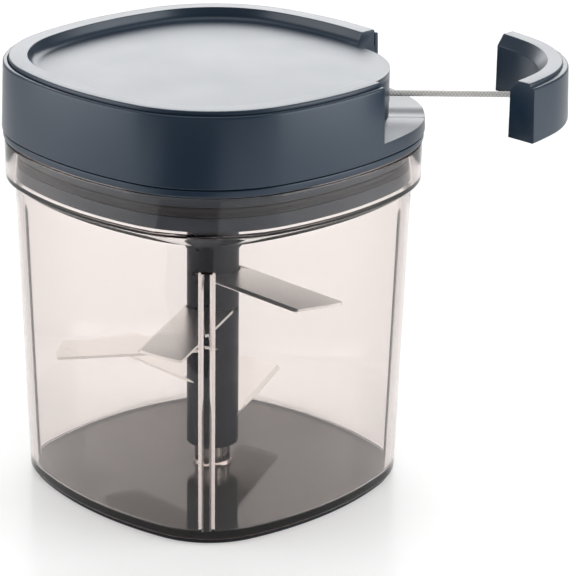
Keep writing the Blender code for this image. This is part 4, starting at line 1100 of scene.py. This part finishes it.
seal_low, seal_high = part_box("seal_ring")
seal_middle = (seal_low[2] + seal_high[2]) / 2
seal_inner = SKIRT - GROOVE_DEPTH + GAP
seal_profile = rounded(
    [
        (seal_inner, seal_low[2]),
        (SKIRT + LIP_STAND, seal_low[2]),
        (SKIRT - LIP_DIP, seal_middle),
        (SKIRT + LIP_STAND, seal_high[2]),
        (seal_inner, seal_high[2]),
    ],
    SEAL_ROUNDS,
)
seal = skin("seal_lips", rings_of(seal_profile, LID_SHARES), closed=True)
dress(seal, seal_rubber, "seal_rubber", "lid", "seal_ring")
print("seal height, mm:", round(float(seal_high[2] - seal_low[2]) / MM, 2))

# %% [markdown]
# The housing is a tall wall with a soft lip. The corner where the grip docks is cut
# back to a round drum wall over a low shelf. Wall and drum could be two pieces, but a
# seam would show where they meet. So the wall is skinned as one body, and the hollow and
# the corner are carved out of it. A shallow channel in the shelf lies under the cord.

# %% Lid sizes
LID = 65.0 * MM
LID_FOOT = 65.8 * MM
LID_WALL = 3.4 * MM
HOUSING_Z = 116.2 * MM
LIP_Z = 137.8 * MM
LIP_WIDTH = 1.5 * MM
SEAT_Z = 133.6 * MM
SHELF_Z = 120.6 * MM
COVER_TOP_Z = 139.0 * MM
CUT_APEX = 19.5 * MM
CUT_WALL = 2.0 * MM
PAST = 3.0 * MM
EDGE = 0.35 * MM
CHANNEL_DEPTH = 0.8 * MM
CHANNEL_HALF = 7.0 * MM
print("lid across its sides, mm:", round(2 * LID / MM, 1))

# %% The corner that the grip fills


def wedge(grow, low, high):
    """The corner sector that the grip fills, grown square to its two sides."""
    apex = CUT_APEX - grow * np.sqrt(2)
    far = 2 * LID
    return block("wedge", [(apex, 0), (apex + far, -far), (apex + far, far)], low, high)


def corner_space():
    """The sector outside the drum wall and over the shelf, with the cord's channel."""
    top = COVER_TOP_Z + PAST
    space = wedge(0, SHELF_Z, top)
    across = np.linspace(-1, 1, 41)
    low = SHELF_Z - CHANNEL_DEPTH * np.cos(across * np.pi / 2) ** 2
    side = np.column_stack([across * CHANNEL_HALF, low])
    side = np.vstack([side, [[CHANNEL_HALF, SHELF_Z + PAST], [-CHANNEL_HALF, SHELF_Z + PAST]]])
    ends = [np.column_stack([np.full(len(side), x), side]) for x in (CUT_APEX, 2 * LID)]
    carve(space, skin("channel", ends), "UNION")
    drum = block("drum", outline(DRUM_REACH, DISC_SHARES), SHELF_Z - PAST, top + PAST)
    return carve(space, drum)


# %% Housing
WALL_FOOT = 8.0 * MM
SEAT_WIDTH = 4.0 * MM
CORD_HOLE_RADIUS = 3.1 * MM
CORD_HOLE_DEPTH = 12.0 * MM
HOUSING_ROUNDS = MM * np.array([0, 0.5, 0.9, 0.35, 0, 0])

housing_profile = rounded(
    [
        (LID - WALL_FOOT, HOUSING_Z),
        (LID_FOOT, HOUSING_Z),
        (LID, LIP_Z),
        (LID - LIP_WIDTH, LIP_Z),
        (LID - LIP_WIDTH, SEAT_Z),
        (LID - LIP_WIDTH - SEAT_WIDTH, SEAT_Z),
    ],
    HOUSING_ROUNDS,
)
housing = skin("housing", rings_of(housing_profile, LID_SHARES))
cavity = block("cavity", outline(LID - LID_WALL, LID_SHARES), HOUSING_Z - PAST, SEAT_Z + PAST)
corner = wedge(CUT_WALL, HOUSING_Z - 2 * PAST, SEAT_Z + 2 * PAST)
drum_inside = block(
    "inside",
    outline(DRUM_REACH - DRUM_WALL, DISC_SHARES),
    HOUSING_Z - 3 * PAST,
    SEAT_Z + 3 * PAST,
)
carve(corner, drum_inside)
carve(cavity, corner)
carve(housing, cavity)
carve(housing, corner_space())
hole = [(CORD_HOLE_RADIUS, 0), (CORD_HOLE_RADIUS, CORD_HOLE_DEPTH)]
cord_hole = skin("cord_hole", turned_rings(hole, HOLE_COUNT))
carve(housing, lay_along_x(cord_hole, DRUM_REACH - CORD_HOLE_DEPTH / 2, CORD_EXIT_Z))
soften(housing, EDGE)
dress(housing, navy, "navy_plastic", "lid", "lid_housing")
print("housing faces:", len(housing.data.polygons))

# %% [markdown]
# The top cover carries the raised rim and the sunk disc. The disc could be pressed into
# a lid-shaped plate, but it isn't the lid's shape made smaller. The rim's outside follows
# the lid and its inside the rounder disc, so the rim is wider at the corners. A small
# fillet leads from the slope into the disc.

# %% Top cover
COVER = LID - LIP_WIDTH - GAP
DISC = 54.0 * MM
DISC_Z = COVER_TOP_Z - 3.6 * MM
RIM_SLOPE = 3.4 * MM
RIM_FILLET = 1.75 * MM
COVER_FOOT = 6.0 * MM
COVER_LIFT = 0.02 * MM
COVER_EDGE = 0.3 * MM
COVER_EDGE_ANGLE = np.radians(50.0)
RIM_FLAT = 1.2 * MM
INNER = 3.0 * MM
COVER_ROUNDS = MM * np.array([0, 0, 0.7, 0])
SLOPE_ROUND = 0.45 * MM
DISC_STEP_SHARES = (0.85, 0.6, 0.35, 0.1)

cover_outside = rounded(
    [
        (COVER - COVER_FOOT, SEAT_Z + COVER_LIFT),
        (COVER, SEAT_Z + COVER_LIFT),
        (COVER, COVER_TOP_Z),
        (COVER - INNER, COVER_TOP_Z),
    ],
    COVER_ROUNDS,
)
slope = rounded(
    [
        (DISC + RIM_SLOPE + RIM_FLAT, COVER_TOP_Z),
        (DISC + RIM_SLOPE, COVER_TOP_Z),
        (DISC + RIM_FILLET, DISC_Z),
        (DISC - INNER, DISC_Z),
    ],
    [0, SLOPE_ROUND, np.sqrt(3) * RIM_FILLET, 0],
    10,
)
disc_steps = [((DISC - INNER) * share, DISC_Z) for share in DISC_STEP_SHARES]
cover_rings = np.concatenate(
    [
        rings_of(cover_outside, LID_SHARES),
        rings_of(slope, DISC_SHARES),
        rings_of(disc_steps, DISC_SHARES),
    ]
)
cover = skin("cover", cover_rings)
carve(cover, corner_space())
soften(cover, COVER_EDGE, 2, COVER_EDGE_ANGLE)
dress(cover, navy, "navy_plastic", "lid", "top_cover")
print("cover faces:", len(cover.data.polygons))

# %% [markdown]
# The grip is the lid's missing corner. A curved bar would look like a handle, but would
# leave a gap when it is docked. So it repeats the outer wall, its lip and its rim, is
# hollowed to clear the drum, and is cut by the same wedge, a little smaller. It sits one
# pull away from the lid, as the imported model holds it.

# %% Grip
PULL_OUT = 44.0 * MM
GRIP_INNER = 55.6 * MM
GRIP_SLOPE = 3.0 * MM
GRIP_DROP = 3.4 * MM
GRIP_Z = SHELF_Z + GAP
SIDE_GAP = 0.4 * MM
RIM_STEP = 0.15 * MM
POCKET_RADIUS = 4.2 * MM
POCKET_DEPTH = 6.8 * MM
GRIP_EDGE = 0.45 * MM
GRIP_ROUNDS = MM * np.array([0, 0.6, 0.9, 0, 0, 0.6, 0])
HOLLOW_ROUNDS = MM * np.array([0, 0.7, 0, 0])

foot_share = (LIP_Z - GRIP_Z) / (LIP_Z - HOUSING_Z)
grip_profile = rounded(
    [
        (LID - COVER_FOOT, GRIP_Z),
        (LID + (LID_FOOT - LID) * foot_share, GRIP_Z),
        (LID, LIP_Z),
        (COVER + RIM_STEP, LIP_Z),
        (COVER, LIP_Z + RIM_STEP),
        (COVER, COVER_TOP_Z),
        (COVER - INNER, COVER_TOP_Z),
    ],
    GRIP_ROUNDS,
)
grip = skin("grip", rings_of(grip_profile, LID_SHARES))
hollow_profile = rounded(
    [
        (GRIP_INNER, GRIP_Z - PAST),
        (GRIP_INNER, COVER_TOP_Z - GRIP_DROP),
        (GRIP_INNER + GRIP_SLOPE, COVER_TOP_Z),
        (GRIP_INNER + GRIP_SLOPE, COVER_TOP_Z + PAST),
    ],
    HOLLOW_ROUNDS,
)
carve(grip, skin("hollow", rings_of(hollow_profile, DISC_SHARES)))
carve(grip, wedge(-SIDE_GAP, GRIP_Z - PAST, COVER_TOP_Z + PAST), "INTERSECT")
hole = [(POCKET_RADIUS, 0), (POCKET_RADIUS, POCKET_DEPTH + PAST)]
pocket = skin("pocket", turned_rings(hole, HOLE_COUNT))
carve(grip, lay_along_x(pocket, GRIP_INNER - PAST, CORD_EXIT_Z))
soften(grip, GRIP_EDGE)
grip.data.transform(Matrix.Translation((PULL_OUT, 0, 0)))
dress(grip, navy, "navy_plastic", "handle", "handle_grip")
print("grip faces:", len(grip.data.polygons))

# %% [markdown]
# The screws, bushes, reel, spring and clutch could be made again too, but the packed
# model's own shapes are already right for turned and cut parts, and the lid hides most
# of them. They keep their shape and only take a finish, by their slot in the record.

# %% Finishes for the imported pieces
FINISHES = {
    "steel": steel,
    "brass": brass,
    "white_plastic": white,
    "shaft_plastic": shaft_navy,
    "navy_plastic": navy,
    "blade_steel": blade_steel,
}
slot_of = {part["node"]: part["material_slot"] for part in frame["record"]["subparts"]}
for node, thing in frame["nodes"].items():
    finish = FINISHES.get(slot_of[node])
    if finish is None:
        continue
    thing.data.materials.clear()
    thing.data.materials.append(finish)
print("packed pieces:", len(frame["nodes"]))

# %% [markdown]
# The object stands on a pale floor that fills the view. A floor of one grey would look
# brighter towards the light behind, so it is made a little darker there, and a faint
# glow of its own lifts it to the white of a studio sweep.

# %% Floor
NEAR_GREY = 0.8
FAR_GREY = 0.61
FAR_START = 0.0
FAR_END = 0.16
FLOOR_GLOW = 0.27
FLOOR_HALF = 6.0
Y_OUTPUT = 1

floor_recipe = Recipe(
    "floor",
    Roughness=0.25,
    Specular_IOR_Level=0.05,
    Emission_Color=(1.0, 1.0, 1.0, 1.0),
    Emission_Strength=FLOOR_GLOW,
)
here = floor_recipe.node("ShaderNodeTexCoord", out=OBJECT_OUTPUT)
depth = floor_recipe.node("ShaderNodeSeparateXYZ", sockets={"Vector": here}, out=Y_OUTPUT)
far = floor_recipe.node(
    "ShaderNodeMapRange",
    {"interpolation_type": "SMOOTHSTEP"},
    {"Value": depth, "From Min": FAR_START, "From Max": FAR_END},
)
evened = floor_recipe.mix(far, shade((NEAR_GREY,) * 3, 1.0), shade((FAR_GREY,) * 3, 1.0))
floor_recipe.join(evened, floor_recipe.shader.inputs["Base Color"])
floor_corners = [(-1, -1, 0), (1, -1, 0), (1, 1, 0), (-1, 1, 0)]
floor = put("floor", FLOOR_HALF * np.array(floor_corners, dtype=float), [[0, 1, 2, 3]])
floor.data.materials.append(floor_recipe.material)
print("floor, metres:", 2 * FLOOR_HALF)

# %% [markdown]
# Glossy plastic shows the room. A dark room would dull all of the lid, so the room is
# light, and two black cards show only in reflections. One lies low in front and darkens
# the front of the lid, and one hangs overhead and darkens the rim's slope.

# %% Black cards
CARD_Z = 0.001
LOW_CARD = [(-0.9, -1.4, CARD_Z), (0.28, -1.4, CARD_Z), (0.0, -0.15, CARD_Z), (-0.14, -0.15, CARD_Z)]
HIGH_CARD = [(-0.7, -0.95, 1.1), (0.7, -0.95, 1.1), (0.7, -0.1, 1.1), (-0.7, -0.1, 1.1)]

black = Recipe("black_card", Base_Color=(0.0, 0.0, 0.0, 1.0), Roughness=1.0, Specular_IOR_Level=0.0)
for name, corners in (("low_card", LOW_CARD), ("high_card", HIGH_CARD)):
    card = put(name, corners, [[0, 1, 2, 3]])
    card.data.materials.append(black.material)
    card.visible_camera = card.visible_diffuse = False
    card.visible_transmission = card.visible_shadow = False
print("black cards:", 2)

# %% [markdown]
# Four soft lights do the work. A large one behind gives the lid's top its sheen, two
# light the side walls, and a weak one hangs above, while the side towards the camera
# stays darker, as in a studio with white walls left and right. Through the cup the light
# behind would glare, so it is hidden there, and an even white wall that shows only
# through clear plastic takes its place.

# %% Lights
MIDDLE = (0.0, 0.0, 0.08)
WORLD_LIGHT = 0.3
LIGHTS = {
    "left_light": ((-0.9, -0.1, 0.35), (0.8, 0.8), 5.0),
    "right_light": ((1.0, -0.2, 0.4), (0.8, 0.8), 7.5),
    "top_light": ((0.0, 0.1, 1.2), (1.2, 1.2), 4.0),
    "back_light": ((0.0, 4.5, 1.85), (4.8, 2.4), 136.0),
    "white_wall": ((0.0, 4.4, 1.85), (6.0, 3.4), 64.0),
}


def soft_light(name, place, size, power):
    """A flat area light of a width and height, at a place, facing the object's middle."""
    data = bpy.data.lights.new(name, "AREA")
    data.shape = "RECTANGLE"
    data.size, data.size_y = size
    data.energy = power
    lamp = bpy.data.objects.new(name, data)
    away = np.array(place) - np.array(MIDDLE)
    away = away / np.linalg.norm(away)
    across = np.cross([0, 0, 1.0], away)
    across = across / np.linalg.norm(across)
    rise = np.cross(away, across)
    axes = np.column_stack([across, rise, away])
    lamp.matrix_world = Matrix.Translation(place) @ Matrix(axes.tolist()).to_4x4()
    bpy.context.scene.collection.objects.link(lamp)
    return lamp


lamps = {name: soft_light(name, *values) for name, values in LIGHTS.items()}
lamps["back_light"].visible_transmission = False
white_wall = lamps["white_wall"]
white_wall.visible_diffuse = white_wall.visible_glossy = white_wall.visible_camera = False

world = bpy.data.worlds.new("studio")
world.use_nodes = True
world.node_tree.nodes["Background"].inputs["Color"].default_value = (1.0, 1.0, 1.0, 1.0)
world.node_tree.nodes["Background"].inputs["Strength"].default_value = WORLD_LIGHT
bpy.context.scene.world = world
print("lights:", len(bpy.data.lights))
